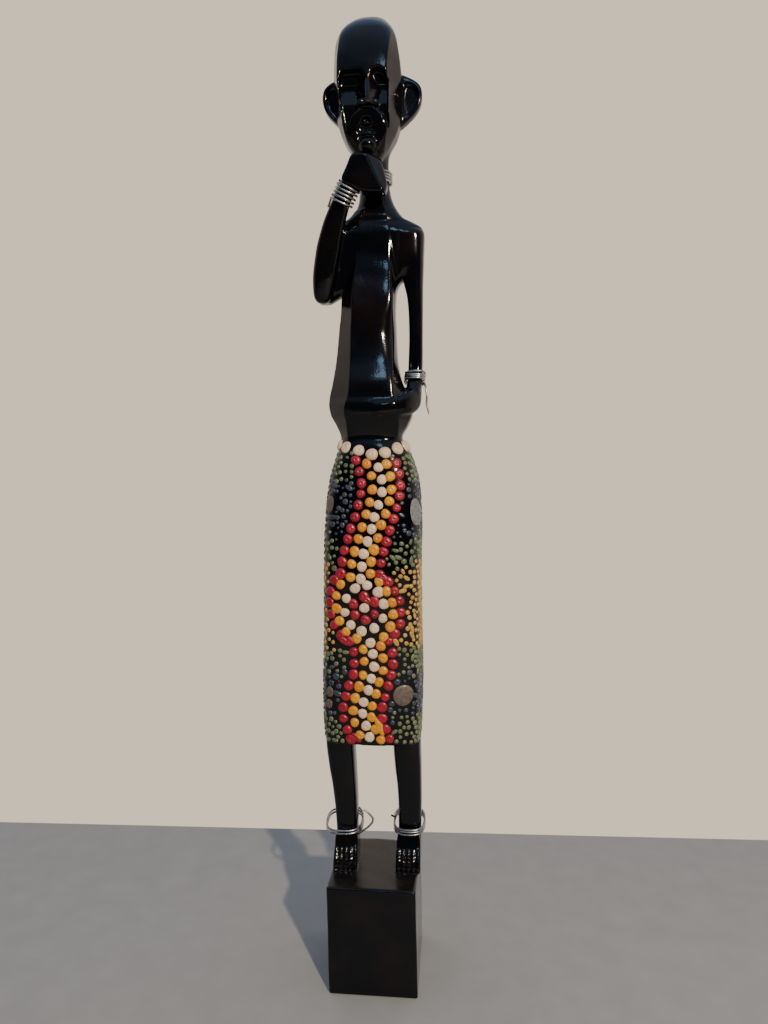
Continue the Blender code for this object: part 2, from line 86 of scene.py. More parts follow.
# Rings of the upright forms: height above the block, middle x, middle y, half width, half depth, power
SKIRT = [
    (72, -2.3, 0.0, 24.9, 20.8, SQUARE),
    (84, -2.2, 0.0, 25.4, 21.4, SQUARE),
    (100, -2.2, 0.0, 25.6, 21.7, SQUARE),
    (134, -2.3, 0.0, 25.1, 21.5, SQUARE),
    (165, -2.3, 0.0, 24.8, 21.2, SQUARE),
    (182, -2.2, 0.0, 24.6, 20.7, SQUARE),
    (197, -2.0, 0.0, 24.0, 19.8, 4.0),
    (207, -1.8, 0.0, 22.9, 18.7, 3.6),
    (215, -1.8, 0.0, 20.9, 17.4, FIRM),
    (221, -2.0, -0.2, 19.0, 16.1, 3.0),
    (225.5, -2.4, -0.3, 17.4, 15.0, SOFT),
    (229, -2.8, -0.5, 15.4, 13.4, SOFT),
]
TRUNK = [
    (220, -2.8, -0.5, 15.6, 13.4, SOFT),
    (229, -3.1, -0.6, 16.0, 13.7, SOFT),
    (235, -2.7, -1.0, 18.6, 15.2, SOFT),
    (241, -3.0, -1.5, 21.2, 18.0, 3.0),
    (245, -3.3, -1.8, 21.6, 18.1, FIRM),
    (249, -3.7, -1.8, 21.0, 17.3, FIRM),
    (256, -4.9, -1.6, 18.4, 16.6, 3.6),
    (269, -5.6, -1.0, 15.8, 14.4, 3.8),
    (284, -5.3, -0.6, 14.8, 13.1, 3.8),
    (296, -4.8, -0.1, 14.0, 12.7, 3.8),
    (312, -4.2, 0.4, 14.0, 11.2, 3.6),
    (326, -3.2, 0.9, 14.4, 10.0, FIRM),
    (337, -2.4, 0.7, 12.6, 8.6, 3.0),
    (344, -1.8, 0.5, 9.6, 7.7, SOFT),
]
SHOULDERS = [
    (304, -2.4, 0.3, 10.6, 8.6, FIRM),
    (309, -1.9, 0.3, 13.8, 8.8, FIRM),
    (313, -1.7, 0.9, 18.0, 8.8, SQUARE),
    (319, -1.7, 0.9, 23.4, 9.2, 5.0),
    (325, -1.7, 0.8, 24.9, 9.5, 5.0),
    (332, -1.5, 0.6, 25.3, 9.6, 4.0),
    (336, -1.4, 0.5, 24.2, 9.2, SOFT),
    (338.6, -1.2, 0.7, 20.2, 8.6, SOFT),
    (341, -1.0, 0.5, 14.9, 8.6, SOFT),
    (344.5, -0.9, 0.5, 11.6, 8.4, 2.4),
    (349, -1.1, 0.5, 9.2, 8.2, 2.2),
    (354, -1.5, 0.5, 8.1, 8.1, ROUND),
    (360, -1.8, 0.4, 7.6, 8.0, ROUND),
    (368, -2.0, 0.0, 7.6, 8.2, ROUND),
    (376, -2.6, -1.0, 8.6, 9.2, ROUND),
]
HEAD = [
    (367.5, -3.4, -6.5, 6.0, 7.6, 2.4),
    (370, -3.5, -5.4, 7.6, 9.6, 2.4),
    (374, -3.7, -3.9, 10.1, 12.2, 2.5),
    (378.5, -4.0, -2.9, 12.5, 14.3, 2.6),
    (383, -4.1, -2.1, 14.5, 16.0, SOFT),
    (387.5, -4.2, -1.5, 15.8, 17.3, SOFT),
    (392, -4.4, -1.0, 16.6, 18.2, SOFT),
    (399, -4.8, -0.5, 17.2, 19.0, SOFT),
    (407, -5.0, 0.0, 17.3, 19.4, SOFT),
    (415, -5.1, 0.1, 16.9, 19.2, 2.7),
    (423.5, -5.2, 0.5, 16.0, 18.7, 2.6),
    (429.5, -5.0, 1.0, 14.9, 17.3, 2.5),
    (434.5, -4.8, 2.0, 13.3, 14.8, 2.4),
    (438.5, -4.5, 3.2, 10.7, 11.4, 2.3),
    (441.5, -3.8, 4.2, 7.6, 7.6, 2.2),
    (443.3, -3.5, 4.7, 4.4, 4.0, ROUND),
    (444, -3.4, 5.0, 1.4, 1.4, ROUND),
]
UPPER_RIGHT_ARM = [
    (298.6, -27.4, -1.5, 3.2, 3.6, 2.4),
    (301.5, -26.0, -1.0, 6.2, 5.4, SOFT),
    (305, -23.4, -0.5, 8.4, 6.2, FIRM),
    (310, -20.4, 0.0, 10.2, 6.8, FIRM),
    (324, -20.0, 0.4, 9.0, 7.6, 3.0),
    (333, -18.6, 0.5, 7.6, 7.8, SOFT),
]
RIGHT_LEG = [
    (-2, -17.0, 4.2, 6.2, 8.4, SOFT), (6, -17.0, 4.2, 6.2, 8.4, SOFT),
    (20, -17.2, 4.0, 6.0, 7.2, 3.2), (32, -17.6, 3.6, 6.2, 7.4, FIRM),
    (44, -18.6, 3.2, 6.6, 7.8, 3.6), (56, -19.9, 3.0, 7.2, 8.2, 3.6),
    (66, -20.6, 2.8, 7.6, 8.6, 3.6), (76, -21.0, 2.6, 7.8, 8.8, 3.6),
]
LEFT_LEG = [
    (-2, 16.4, 4.2, 6.2, 8.4, SOFT), (6, 16.4, 4.2, 6.2, 8.4, SOFT), (20, 16.9, 4.0, 6.2, 7.2, 3.2),
    (32, 16.9, 3.6, 6.3, 7.4, FIRM), (44, 16.5, 3.2, 6.6, 7.8, 3.6), (56, 15.8, 3.0, 7.2, 8.2, 3.6),
    (66, 15.3, 2.8, 7.4, 8.6, 3.6), (76, 15.2, 2.6, 7.4, 8.8, 3.6),
]

# Rings of the bent forms, square to the path: x, y, height above the block and both half sizes
RIGHT_FOREARM = [
    (-28.6, -3.5, 298.6, 2.6, 3.6), (-28.2, -4.6, 302.0, 4.7, 5.4), (-27.0, -6.8, 311.0, 6.0, 5.8),
    (-25.0, -9.0, 322.0, 6.2, 5.4), (-22.2, -11.2, 333.0, 5.6, 5.0),
    (-18.6, -13.2, 343.0, 4.7, 4.4), (-14.8, -14.8, 350.5, 4.1, 4.0),
    (-10.6, -15.8, 357.0, 4.9, 4.2),
]
LEFT_ARM = [
    (17.6, 0.4, 334.0, 5.4, 8.2), (17.8, 0.4, 322.0, 5.9, 8.2), (18.2, 0.3, 311.0, 5.3, 7.0),
    (19.2, 0.2, 301.0, 4.2, 5.8), (19.6, 0.0, 291.0, 3.8, 5.0), (19.7, -0.2, 278.0, 3.6, 4.4),
    (19.5, -0.6, 266.0, 3.7, 4.2), (19.2, -2.0, 258.0, 3.7, 4.2), (18.2, -5.4, 251.0, 3.6, 4.6),
]
LEFT_HAND = [  # half height first
    (19.4, 0.5, 254.6, 3.8, 3.3), (19.2, -4.6, 249.4, 5.4, 3.4), (16.8, -10.4, 246.6, 5.7, 3.3),
    (12.4, -15.0, 244.9, 4.6, 3.0), (7.4, -17.4, 243.6, 3.6, 2.6), (2.6, -18.6, 242.9, 3.2, 2.0),
    (-0.6, -18.9, 242.6, 2.8, 1.2),
]
FOOT = [  # y, half width and top of the foot's arch over the block
    (12.4, 5.6, 10.0), (10.0, 6.0, 16.0), (4.0, 6.2, 20.0), (-2.4, 6.3, 20.0), (-5.2, 6.4, 13.0),
    (-7.6, 6.4, 6.4),
]
FOOT_SUNK = 2.0
TOE_COUNT = 5
TOE_SPREAD = 10.4
TOE_RADIUS = 1.3
TOES = [(-3.6, 12.6), (-5.6, 9.6), (-8.0, 4.6), (-8.9, 0.8)]  # y and height along a toe
TOE_SHARES = [0.5, 0.95, 1.0, 1.0]

# Flat forms: outlines of distance across and height above the block, with near and far depths
RAISED_HAND = [
    (-17.6, 354.4), (-13.8, 361.8), (-11.6, 367.6), (-7.8, 368.0), (-2.0, 367.4), (3.0, 365.4),
    (4.6, 360.0), (6.2, 353.4), (5.6, 349.4), (4.2, 348.4), (-6.8, 349.2), (-9.4, 351.2),
]
RAISED_HAND_DEPTHS = (-20.8, -12.2)
FINGER_EDGE = (-2.4, 363.8)  # a point of the edge between the back of the hand and its fingers
FINGER_WAY = (5.4, -11.9)  # the way that the edge runs
FINGER_GROOVES = [1.7, 3.3]  # distances from the edge, across the fingers
EAR_MIDDLE = -3.1
EAR = [
    (9.0, 411.0), (14.0, 413.3), (18.6, 411.6), (22.4, 409.6), (24.8, 407.2), (25.6, 404.0),
    (25.4, 400.0), (24.2, 396.5), (21.8, 393.2), (18.4, 389.9), (14.0, 386.0), (9.0, 387.0),
]
EAR_DEPTHS = (-2.8, 3.6)
EAR_HOLLOW = [(16.8, 407.4), (21.6, 406.2), (23.2, 402.6), (22.6, 398.4), (20.2, 394.6), (16.8, 391.6)]
EAR_HOLLOW_FLOOR = -2.25

# The face. The eyes' hollows reach further out on its right than on its left
RIGHT_EYE_FIELD = [
    (-17.8, 403.4), (-16.4, 408.0), (-8.2, 408.4), (-6.4, 407.2), (-4.0, 403.2), (-3.6, 401.0),
    (-3.6, 391.8), (-7.4, 389.7), (-11.2, 386.4), (-13.5, 381.6), (-14.4, 378.4), (-15.6, 384.2),
    (-17.0, 394.0),
]
LEFT_EYE_FIELD = [
    (6.3, 402.4), (4.9, 407.4), (1.6, 409.0), (-1.6, 408.0), (-2.5, 403.2), (-2.8, 401.0),
    (-2.8, 391.8), (0.6, 389.9), (3.9, 386.6), (5.7, 382.0), (6.5, 378.4), (6.9, 384.0),
    (6.2, 394.6),
]
EYE_FLOOR = [
    (374.0, -15.4), (384.0, -16.0), (392.2, -16.9), (402.8, -13.5), (409.0, -14.3),
]
MOUTH_MIDDLE = -4.2
MOUTH_FIELD = [(-1.3, 385.6), (-3.9, 381.4), (-4.9, 375.2), (4.9, 375.2), (3.9, 381.4), (1.3, 385.6)]
MOUTH_FLOOR = -16.0
NOSE_MIDDLE = -3.1
NOSE_LEAN = -0.9  # how far across the ridge's top stands from its foot
NOSE = [  # height, half width at the cheeks, how far forward the ridge stands
    (408.0, 2.2, -18.6), (404.6, 2.8, -18.9), (402.0, 4.6, -19.8), (399.0, 5.6, -20.8),
    (394.0, 5.9, -22.6), (391.0, 6.0, -23.2),
]
NOSE_FOOT = 390.3
NOSE_WING = -15.6
NOSE_RIDGE = 0.7
NOSTRIL = ((3.4, -19.2, 391.9), (2.1, 2.5, 1.7))  # its middle from the nose's, and its half sizes
LIPS = [(383.0, 2.8, 1.2), (378.2, 4.4, 1.3)]  # height, half width, half height
LIP_MIDDLE = -15.9
LIP_REACH = 2.6
CHIN = ((-3.7, -13.8, 373.2), (4.8, 5.2, 4.3))

# Where a column's front plane meets the side planes: height, right edge and left edge across,
# how far back from the front the side planes reach, and how flat the front is
TRUNK_FRONT = [
    (220, -13.2, 9.0, 8.0, 3.0), (236, -13.6, 10.0, 9.0, 3.4), (243, -14.6, 10.0, 11.0, 3.6),
    (252, -12.9, 8.6, 11.0, 4.6), (262, -12.7, 8.5, 10.4, 6.0), (272, -12.5, 8.4, 9.8, 4.6),
    (281, -12.5, 8.3, 9.4, 3.7), (288, -12.4, 8.1, 9.0, 4.6), (298, -12.3, 8.0, 8.0, 8.0),
    (320, -9.8, 6.6, 6.0, 8.0), (336, -8.4, 5.2, 4.0, 8.0), (346, -7.6, 4.6, 3.0, 6.0),
]
HEAD_FRONT = [
    (366, -9.6, 2.6, 4.0, 3.0), (371.5, -12.3, 4.0, 7.0, 4.0), (376.7, -14.4, 5.0, 9.0, 6.0),
    (385.2, -16.2, 6.8, 12.0, 8.0), (394.6, -17.2, 6.6, 14.0, 8.0), (404.9, -18.6, 5.8, 15.0, 8.0),
    (412, -18.4, 6.0, 14.0, 6.5), (424, -17.0, 6.6, 10.0, 4.4), (436, -13.6, 5.6, 6.0, 2.5),
]
FACET_EDGE = 0.25
BENT_END = 1.6  # how soft the ends of the bent forms are
BENT_PARTS = 4  # samples between their rings
HOLLOW_EDGE = 0.5
WEDGE_LEAST = 0.8  # the least width of a side plane

# Grooves and ridges between the limbs and the body: points of x, y and height, and radii
CREASES = [
    (
        [(11.6, -9.4, 338.0), (12.0, -9.6, 330.0), (11.4, -9.0, 318.0), (10.9, -8.2, 308.0)],
        [0.5, 0.9, 1.0, 0.8],
    ),
    (
        [(-9.2, -10.8, 332.0), (-8.2, -11.4, 328.6), (-10.6, -11.8, 323.6), (-16.6, -10.6, 320.0)],
        [0.7, 1.0, 1.0, 0.5],
    ),
    ([(-0.4, -20.6, 239.4), (3.2, -20.2, 238.4), (7.2, -19.6, 237.8)], [0.3, 0.5, 0.3]),
    ([(9.6, -18.6, 238.8), (13.4, -15.6, 234.6), (17.4, -10.4, 230.6)], [0.4, 0.6, 0.4]),
    ([(6.6, -18.6, 236.0), (10.6, -16.2, 231.6), (13.0, -13.6, 228.6)], [0.3, 0.5, 0.3]),
    ([(13.2, -17.0, 239.2), (16.6, -12.8, 235.4), (19.0, -8.4, 232.2)], [0.3, 0.5, 0.3]),
]


def rows_of(table):
    return np.array(table, float)


def unit(ways):
    """One way, or each of many, made one long."""
    return ways / np.linalg.norm(ways, axis=-1, keepdims=True)


def smooth_rows(places, values, at):
    """Values between the rows, on cubic curves that never swing past a row."""
    steps = np.diff(places)
    slopes = np.diff(values, axis=0) / steps[:, None]
    tangents = np.zeros_like(values)
    product = slopes[:-1] * slopes[1:]
    first = 2 * steps[1:, None] + steps[:-1, None]
    second = steps[1:, None] + 2 * steps[:-1, None]
    with np.errstate(divide="ignore", invalid="ignore"):
        mean = (first + second) / (first / slopes[:-1] + second / slopes[1:])
    tangents[1:-1] = np.where(product > 0, mean, 0.0)
    tangents[0] = slopes[0]
    tangents[-1] = slopes[-1]
    at = np.clip(at, places[0], places[-1])
    index = np.clip(np.searchsorted(places, at) - 1, 0, len(places) - 2)
    step = steps[index][..., None]
    t = ((at - places[index])[..., None]) / step
    start, end = values[index], values[index + 1]
    leave, arrive = tangents[index] * step, tangents[index + 1] * step
    curve = (2 * t**3 - 3 * t**2 + 1) * start + (t**3 - 2 * t**2 + t) * leave
    return curve + (3 * t**2 - 2 * t**3) * end + (t**3 - t**2) * arrive


def joined(first, second, blend):
    """The union of two fields, with a fillet of about the blend's size."""
    share = np.clip(0.5 + 0.5 * (second - first) / blend, 0.0, 1.0)
    return second + (first - second) * share - blend * share * (1 - share)


def common(first, second, blend):
    return -joined(-first, -second, blend)


def ring_distance(across, along, half_first, half_second, power):
    """About the distance to a rounded rectangle, negative inside."""
    u = np.maximum(np.abs(across) / half_first, 1e-4)
    v = np.maximum(np.abs(along) / half_second, 1e-4)
    radius = (u**power + v**power) ** (1 / power)
    slope = np.hypot(u ** (power - 1) / half_first, v ** (power - 1) / half_second)
    slope = slope * radius ** (1 - power)
    return (radius - 1) / slope


class Form:
    """A field with the box that holds its inside."""

    def __init__(self, low, high, distance):
        self.low = np.array(low, float)
        self.high = np.array(high, float)
        self.distance = distance


def upright(table, front=None):
    """A column through the table's rings. A front table gives it a front plane between two side ones."""
    rows = rows_of(table)
    heights = rows[:, 0]
    values = rows[:, 1:]
    front = None if front is None else rows_of(front)

    def planes(side, x, y, edges, front_y, middle_x, half_width):
        field = np.maximum(side, front_y - y)
        for mirror, edge in ((-1, edges[..., 0]), (1, edges[..., 1])):
            run = np.maximum(mirror * (middle_x - edge) + half_width, WEDGE_LEAST)
            rise = edges[..., 2]
            length = np.hypot(run, rise)
            plane = (mirror * (x - edge) * rise - (y - front_y) * run) / length
            field = common(field, plane, FACET_EDGE)
        return field

    def distance(x, y, z):
        height = z - BLOCK_TOP
        ring = smooth_rows(heights, values, height)
        middle_x, middle_y, half_width, half_depth, power = (ring[..., i] for i in range(5))
        if front is None:
            side = ring_distance(x - middle_x, y - middle_y, half_width, half_depth, power)
        else:
            edges = smooth_rows(front[:, 0], front[:, 1:], height)
            power = np.where(y < middle_y, edges[..., 3], power)
            side = ring_distance(x - middle_x, y - middle_y, half_width, half_depth, power)
            side = planes(side, x, y, edges, middle_y - half_depth, middle_x, half_width)
        return np.maximum(side, np.maximum(heights[0] - height, height - heights[-1]))

    low = (
        (values[:, 0] - values[:, 2]).min(),
        (values[:, 1] - values[:, 3]).min(),
        heights[0] + BLOCK_TOP,
    )
    high = (
        (values[:, 0] + values[:, 2]).max(),
        (values[:, 1] + values[:, 3]).max(),
        heights[-1] + BLOCK_TOP,
    )
    return Form(low, high, distance)


def nearest_on_path(points, x, y, z):
    """The place along a polyline that is nearest to each point, counted in its segments."""
    best = np.full(x.shape, np.inf)
    place = np.zeros(x.shape)
    for i in range(len(points) - 1):
        way = points[i + 1] - points[i]
        dx, dy, dz = x - points[i][0], y - points[i][1], z - points[i][2]
        t = np.clip((dx * way[0] + dy * way[1] + dz * way[2]) / way.dot(way), 0.0, 1.0)
        gap = (dx - t * way[0]) ** 2 + (dy - t * way[1]) ** 2 + (dz - t * way[2]) ** 2
        closer = gap < best
        best = np.where(closer, gap, best)
        place = np.where(closer, i + t, place)
    return place


def bent(table, reference, power):
    """A limb along a path. Its first half size is the way that the reference points."""
    rows = rows_of(table)
    rows[:, 2] += BLOCK_TOP
    stations = np.arange(len(rows), dtype=float)
    count = (len(rows) - 1) * BENT_PARTS + 1
    samples = smooth_rows(stations, rows, np.linspace(0, len(rows) - 1, count))
    points = samples[:, :3]
    halves = samples[:, 3:]
    ways = unit(np.gradient(points, axis=0))
    firsts = unit(reference - ways * (ways @ reference)[:, None])
    seconds = np.cross(ways, firsts)
    frames = np.hstack([points, halves, firsts, seconds])
    index = np.arange(len(frames), dtype=float)

    def past_end(x, y, z, end, way):
        return (x - end[0]) * way[0] + (y - end[1]) * way[1] + (z - end[2]) * way[2]

    def distance(x, y, z):
        place = nearest_on_path(points, x, y, z)
        at = [np.interp(place, index, frames[:, i]) for i in range(frames.shape[1])]
        dx, dy, dz = x - at[0], y - at[1], z - at[2]
        across = dx * at[5] + dy * at[6] + dz * at[7]
        along = dx * at[8] + dy * at[9] + dz * at[10]
        side = ring_distance(across, along, at[3], at[4], power)
        start = past_end(x, y, z, points[0], -ways[0])
        end = past_end(x, y, z, points[-1], ways[-1])
        return common(side, np.maximum(start, end), BENT_END)

    reach = halves.max() * 1.05
    return Form(points.min(0) - reach, points.max(0) + reach, distance)


def rounded_outline(points, rounds=2):
    """The outline with its corners cut again and again."""
    points = np.array(points, float)
    for _ in range(rounds):
        after = np.roll(points, -1, axis=0)
        pair = np.stack([points * 0.75 + after * 0.25, points * 0.25 + after * 0.75], axis=1)
        points = pair.reshape(-1, 2)
    return points


def outline_distance(points, x, height):
    """The distance to a closed outline, negative inside."""
    best = np.full(x.shape, np.inf)
    inside = np.zeros(x.shape, bool)
    for (ax, ah), (bx, bh) in zip(points, np.roll(points, -1, axis=0)):
        ex, eh = bx - ax, bh - ah
        wx, wh = x - ax, height - ah
        t = np.clip((wx * ex + wh * eh) / (ex * ex + eh * eh), 0.0, 1.0)
        best = np.minimum(best, (wx - ex * t) ** 2 + (wh - eh * t) ** 2)
        crosses = ((ah > height) != (bh > height)) & (wx * eh < wh * ex if eh > 0 else wx * eh > wh * ex)
        inside ^= crosses
    return np.where(inside, -1.0, 1.0) * np.sqrt(best)


def slab(outline, middle, mirror, near, far, edge=0.8, rounds=2):
    """A flat form with soft edges between two depths."""
    points = rounded_outline(outline, rounds)
    points[:, 0] = middle + mirror * points[:, 0]

    def distance(x, y, z):
        side = outline_distance(points, x, z - BLOCK_TOP)
        depth = np.maximum(near - y, y - far)
        return common(side, depth, edge)

    low = (points[:, 0].min(), near, points[:, 1].min() + BLOCK_TOP)
    high = (points[:, 0].max(), far, points[:, 1].max() + BLOCK_TOP)
    return Form(low, high, distance)


def hollow(outline, middle, mirror, floor, reach=-34.0, rounds=0):
    """What is cut away in front of a floor, inside an outline. The floor's depth may change with height."""
    points = rounded_outline(outline, rounds)
    points[:, 0] = middle + mirror * points[:, 0]
    floor = np.array(floor, float)

    def distance(x, y, z):
        height = z - BLOCK_TOP
        side = outline_distance(points, x, height)
        depth = np.interp(height, floor[:, 0], floor[:, 1])
        return common(side, y - depth, HOLLOW_EDGE)

    low = (points[:, 0].min(), reach, points[:, 1].min() + BLOCK_TOP)
    high = (points[:, 0].max(), floor[:, 1].max(), points[:, 1].max() + BLOCK_TOP)
    return Form(low, high, distance)


def rod(points, radii):
    """A round rod through points, with round ends. It makes ridges and, cut away, grooves."""
    points = np.array(points, float) + (0.0, 0.0, BLOCK_TOP)
    radii = np.array(radii, float)
    index = np.arange(len(points), dtype=float)

    def distance(x, y, z):
        place = nearest_on_path(points, x, y, z)
        cx, cy, cz = (np.interp(place, index, points[:, i]) for i in range(3))
        gap = np.sqrt((x - cx) ** 2 + (y - cy) ** 2 + (z - cz) ** 2)
        return gap - np.interp(place, index, radii)

    reach = radii.max()
    return Form(points.min(0) - reach, points.max(0) + reach, distance)


def ball(middle, halves):
    middle = np.array(middle, float) + (0.0, 0.0, BLOCK_TOP)
    halves = np.array(halves, float)

    def distance(x, y, z):
        u, v, w = (x - middle[0]) / halves[0], (y - middle[1]) / halves[1], (z - middle[2]) / halves[2]
        radius = np.sqrt(u * u + v * v + w * w)
        slope = np.sqrt((u / halves[0]) ** 2 + (v / halves[1]) ** 2 + (w / halves[2]) ** 2)
        return (radius - 1) * radius / np.maximum(slope, 1e-3)

    return Form(middle - halves, middle + halves, distance)


def block_form():
    """The block, a little uneven as a hand saw leaves it."""
    half_width = BLOCK_WIDTH / 2
    half_depth = BLOCK_DEPTH / 2

    def distance(x, y, z):
        across = np.abs(x - BLOCK_LEAN * np.clip(z / BLOCK_TOP, 0, 1)) - half_width
        along = np.abs(y) - half_depth
        side = common(across, along, BLOCK_EDGE)
        return common(side, np.maximum(-z, z - BLOCK_TOP), BLOCK_EDGE)

    return Form((-half_width - 1.4, -half_depth, 0), (half_width, half_depth, BLOCK_TOP), distance)


def foot_form(middle):
    rows = rows_of(FOOT[::-1])

    def distance(x, y, z):
        height = z - BLOCK_TOP
        ring = smooth_rows(rows[:, 0], rows[:, 1:], y)
        half_width, top = ring[..., 0], ring[..., 1]
        centre = (top - FOOT_SUNK) / 2
        side = ring_distance(x - middle, height - centre, half_width, (top + FOOT_SUNK) / 2, SQUARE)
        return common(side, np.maximum(rows[0, 0] - y, y - rows[-1, 0]), 1.0)

    low = (middle - 6.5, rows[0, 0], BLOCK_TOP - FOOT_SUNK)
    high = (middle + 6.5, rows[-1, 0], BLOCK_TOP + rows[:, 2].max())
    return Form(low, high, distance)


def nose_form():
    rows = rows_of(NOSE[::-1])
    tall = rows[-1, 0] - rows[0, 0]

    def distance(x, y, z):
        height = z - BLOCK_TOP
        ring = smooth_rows(rows[:, 0], rows[:, 1:], height)
        half_width, ridge = ring[..., 0], ring[..., 1]
        run = half_width - NOSE_RIDGE
        rise = NOSE_WING - ridge
        length = np.hypot(run, rise)
        lean = NOSE_LEAN * np.clip((height - rows[0, 0]) / tall, 0.0, 1.0)
        across = np.abs(x - NOSE_MIDDLE - lean)
        wing = ((across - NOSE_RIDGE) * rise - (y - ridge) * run) / length
        field = common(common(wing, across - half_width, 0.3), ridge - y, 0.5)
        return common(field, np.maximum(NOSE_FOOT - height, height - rows[-1, 0]), 0.4)

    low = (NOSE_MIDDLE - 7, -25, BLOCK_TOP + NOSE_FOOT)
    high = (NOSE_MIDDLE + 6, -9, BLOCK_TOP + rows[-1, 0])
    return Form(low, high, distance)


def plane_cut(point, normal, low, high):
    """What is cut away in front of a plane, inside a box."""
    normal = unit(np.array(normal, float))
    point = np.array(point, float) + (0.0, 0.0, BLOCK_TOP)

    def distance(x, y, z):
        return -((x - point[0]) * normal[0] + (y - point[1]) * normal[1] + (z - point[2]) * normal[2])

    return Form(np.array(low) + (0, 0, BLOCK_TOP), np.array(high) + (0, 0, BLOCK_TOP), distance)


def finger_steps():
    """The fingers' own plane on the raised hand, with grooves between them."""
    normal = np.array((-FINGER_WAY[1], -13.0, FINGER_WAY[0]))
    edge = np.array((FINGER_EDGE[0], RAISED_HAND_DEPTHS[0], FINGER_EDGE[1]))
    cut = plane_cut(edge, normal, (-4.0, -24.0, 346.0), (9.0, -8.0, 367.0))
    steps = [("cut", cut, 0.5)]
    way = unit(np.array((FINGER_WAY[0], 0.0, FINGER_WAY[1])))
    across = unit(np.cross(way, normal))
    across *= np.sign(across[0])
    for gap in FINGER_GROOVES:
        start = edge + across * gap
        points = [tuple(start + way * run) for run in (1.0, 6.0, 12.0)]
        steps.append(("cut", rod(points, [0.15, 0.3, 0.15]), 0.3))
    return steps


def foot_steps(leg):
    middle = leg[1][1]
    steps = [("join", foot_form(middle), 0.8)]
    for i in range(TOE_COUNT):
        x = middle + TOE_SPREAD * (i / (TOE_COUNT - 1) - 0.5)
        radii = [TOE_RADIUS * share for share in TOE_SHARES]
        steps.append(("join", rod([(x, y, h) for y, h in TOES], radii), 0.25))
    return steps


def face_steps():
    steps = [
        ("cut", hollow(RIGHT_EYE_FIELD, 0.0, 1, EYE_FLOOR), 0.4),
        ("cut", hollow(LEFT_EYE_FIELD, 0.0, 1, EYE_FLOOR), 0.4),
    ]
    mouth_floor = [(370.0, MOUTH_FLOOR), (390.0, MOUTH_FLOOR)]
    steps.append(("cut", hollow(MOUTH_FIELD, MOUTH_MIDDLE, 1, mouth_floor), 0.45))
    steps.append(("join", nose_form(), 0.4))
    for mirror in (-1, 1):
        (x, y, height), halves = NOSTRIL
        steps.append(("join", ball((NOSE_MIDDLE + mirror * x, y, height), halves), 0.6))
    for height, half_width, half_height in LIPS:
        lip = ball((MOUTH_MIDDLE, LIP_MIDDLE, height), (half_width, LIP_REACH, half_height))
        steps.append(("join", lip, 0.3))
    steps.append(("join", ball(*CHIN), 0.8))
    return steps


def ear_steps():
    steps = []
    floor = [(380.0, EAR_HOLLOW_FLOOR), (420.0, EAR_HOLLOW_FLOOR)]
    for mirror in (-1, 1):
        steps.append(("join", slab(EAR, EAR_MIDDLE, mirror, *EAR_DEPTHS, 1.6), 0.5))
        steps.append(("cut", hollow(EAR_HOLLOW, EAR_MIDDLE, mirror, floor, -5.0, 2), 2.2))
    return steps


def figure_steps():
    """The carving in order: what each step does, its form, and how soft the meeting is."""
    across = np.array((1.0, 0.0, 0.0))
    up = np.array((0.0, 0.0, 1.0))
    steps = [
        ("join", block_form(), 0.5),
        ("join", upright(RIGHT_LEG), 0.8),
        ("join", upright(LEFT_LEG), 0.8),
        ("join", upright(SKIRT), 0.7),
        ("join", upright(TRUNK, TRUNK_FRONT), 1.0),
        ("join", upright(SHOULDERS), 2.2),
        ("join", bent(LEFT_ARM, across, 3.2), 1.4),
        ("join", bent(LEFT_HAND, up, 2.6), 1.4),
        ("join", upright(UPPER_RIGHT_ARM), 2.2),
        ("join", upright(HEAD, HEAD_FRONT), 1.4),
        ("join", bent(RIGHT_FOREARM, across, 3.0), 1.0),
        ("join", slab(RAISED_HAND, 0.0, 1, *RAISED_HAND_DEPTHS, 1.4), 1.6),
    ]
    steps += foot_steps(RIGHT_LEG) + foot_steps(LEFT_LEG)
    steps += finger_steps() + ear_steps() + face_steps()
    steps += [("cut", rod(points, radii), 0.6) for points, radii in CREASES]
    return steps


# Sinuous unevenness that a knife and thick paint leave: wavelength and height in millimetres
WAVES = [(46.0, 0.16), (31.0, 0.12), (19.0, 0.09), (11.0, 0.05)]
WAVES_PER_LENGTH = 3
WAVE_FADE = 4.0  # the underside stays flat, and the unevenness grows over this height


def uneven(x, y, z):
    chance = np.random.default_rng(SEED)
    total = np.zeros(np.broadcast(x, y, z).shape)
    for length, height in WAVES:
        for _ in range(WAVES_PER_LENGTH):
            way = chance.normal(size=3)
            way *= 2 * math.pi / (length * np.linalg.norm(way))
            phase = chance.uniform(0, 2 * math.pi)
            total += height / WAVES_PER_LENGTH * np.sin(way[0] * x + way[1] * y + way[2] * z + phase)
    return total * np.clip(z / WAVE_FADE, 0.0, 1.0)


FAR = 9.0
REACH = 4.0  # how far outside its box a form is still worked out


def apply_step(total, kind, field, blend):
    if kind == "join":
        return joined(total, field, blend)
    return common(total, -field, blend)


def field_on_grid(steps, xs, ys, zs):
    total = np.full((len(zs), len(ys), len(xs)), FAR)
    for kind, form, blend in steps:
        windows = []
        for axis, places in ((2, zs), (1, ys), (0, xs)):
            first = np.searchsorted(places, form.low[axis] - REACH)
            last = np.searchsorted(places, form.high[axis] + REACH)
            windows.append(slice(first, last))
        z, y, x = np.meshgrid(zs[windows[0]], ys[windows[1]], xs[windows[2]], indexing="ij")
        if not x.size:
            continue
        part = total[tuple(windows)]
        field = form.distance(x, y, z)
        total[tuple(windows)] = apply_step(part, kind, field, blend)
    z, y, x = np.meshgrid(zs, ys, xs, indexing="ij")
    close = np.abs(total) < REACH
    total[close] += uneven(x[close], y[close], z[close])
    return total


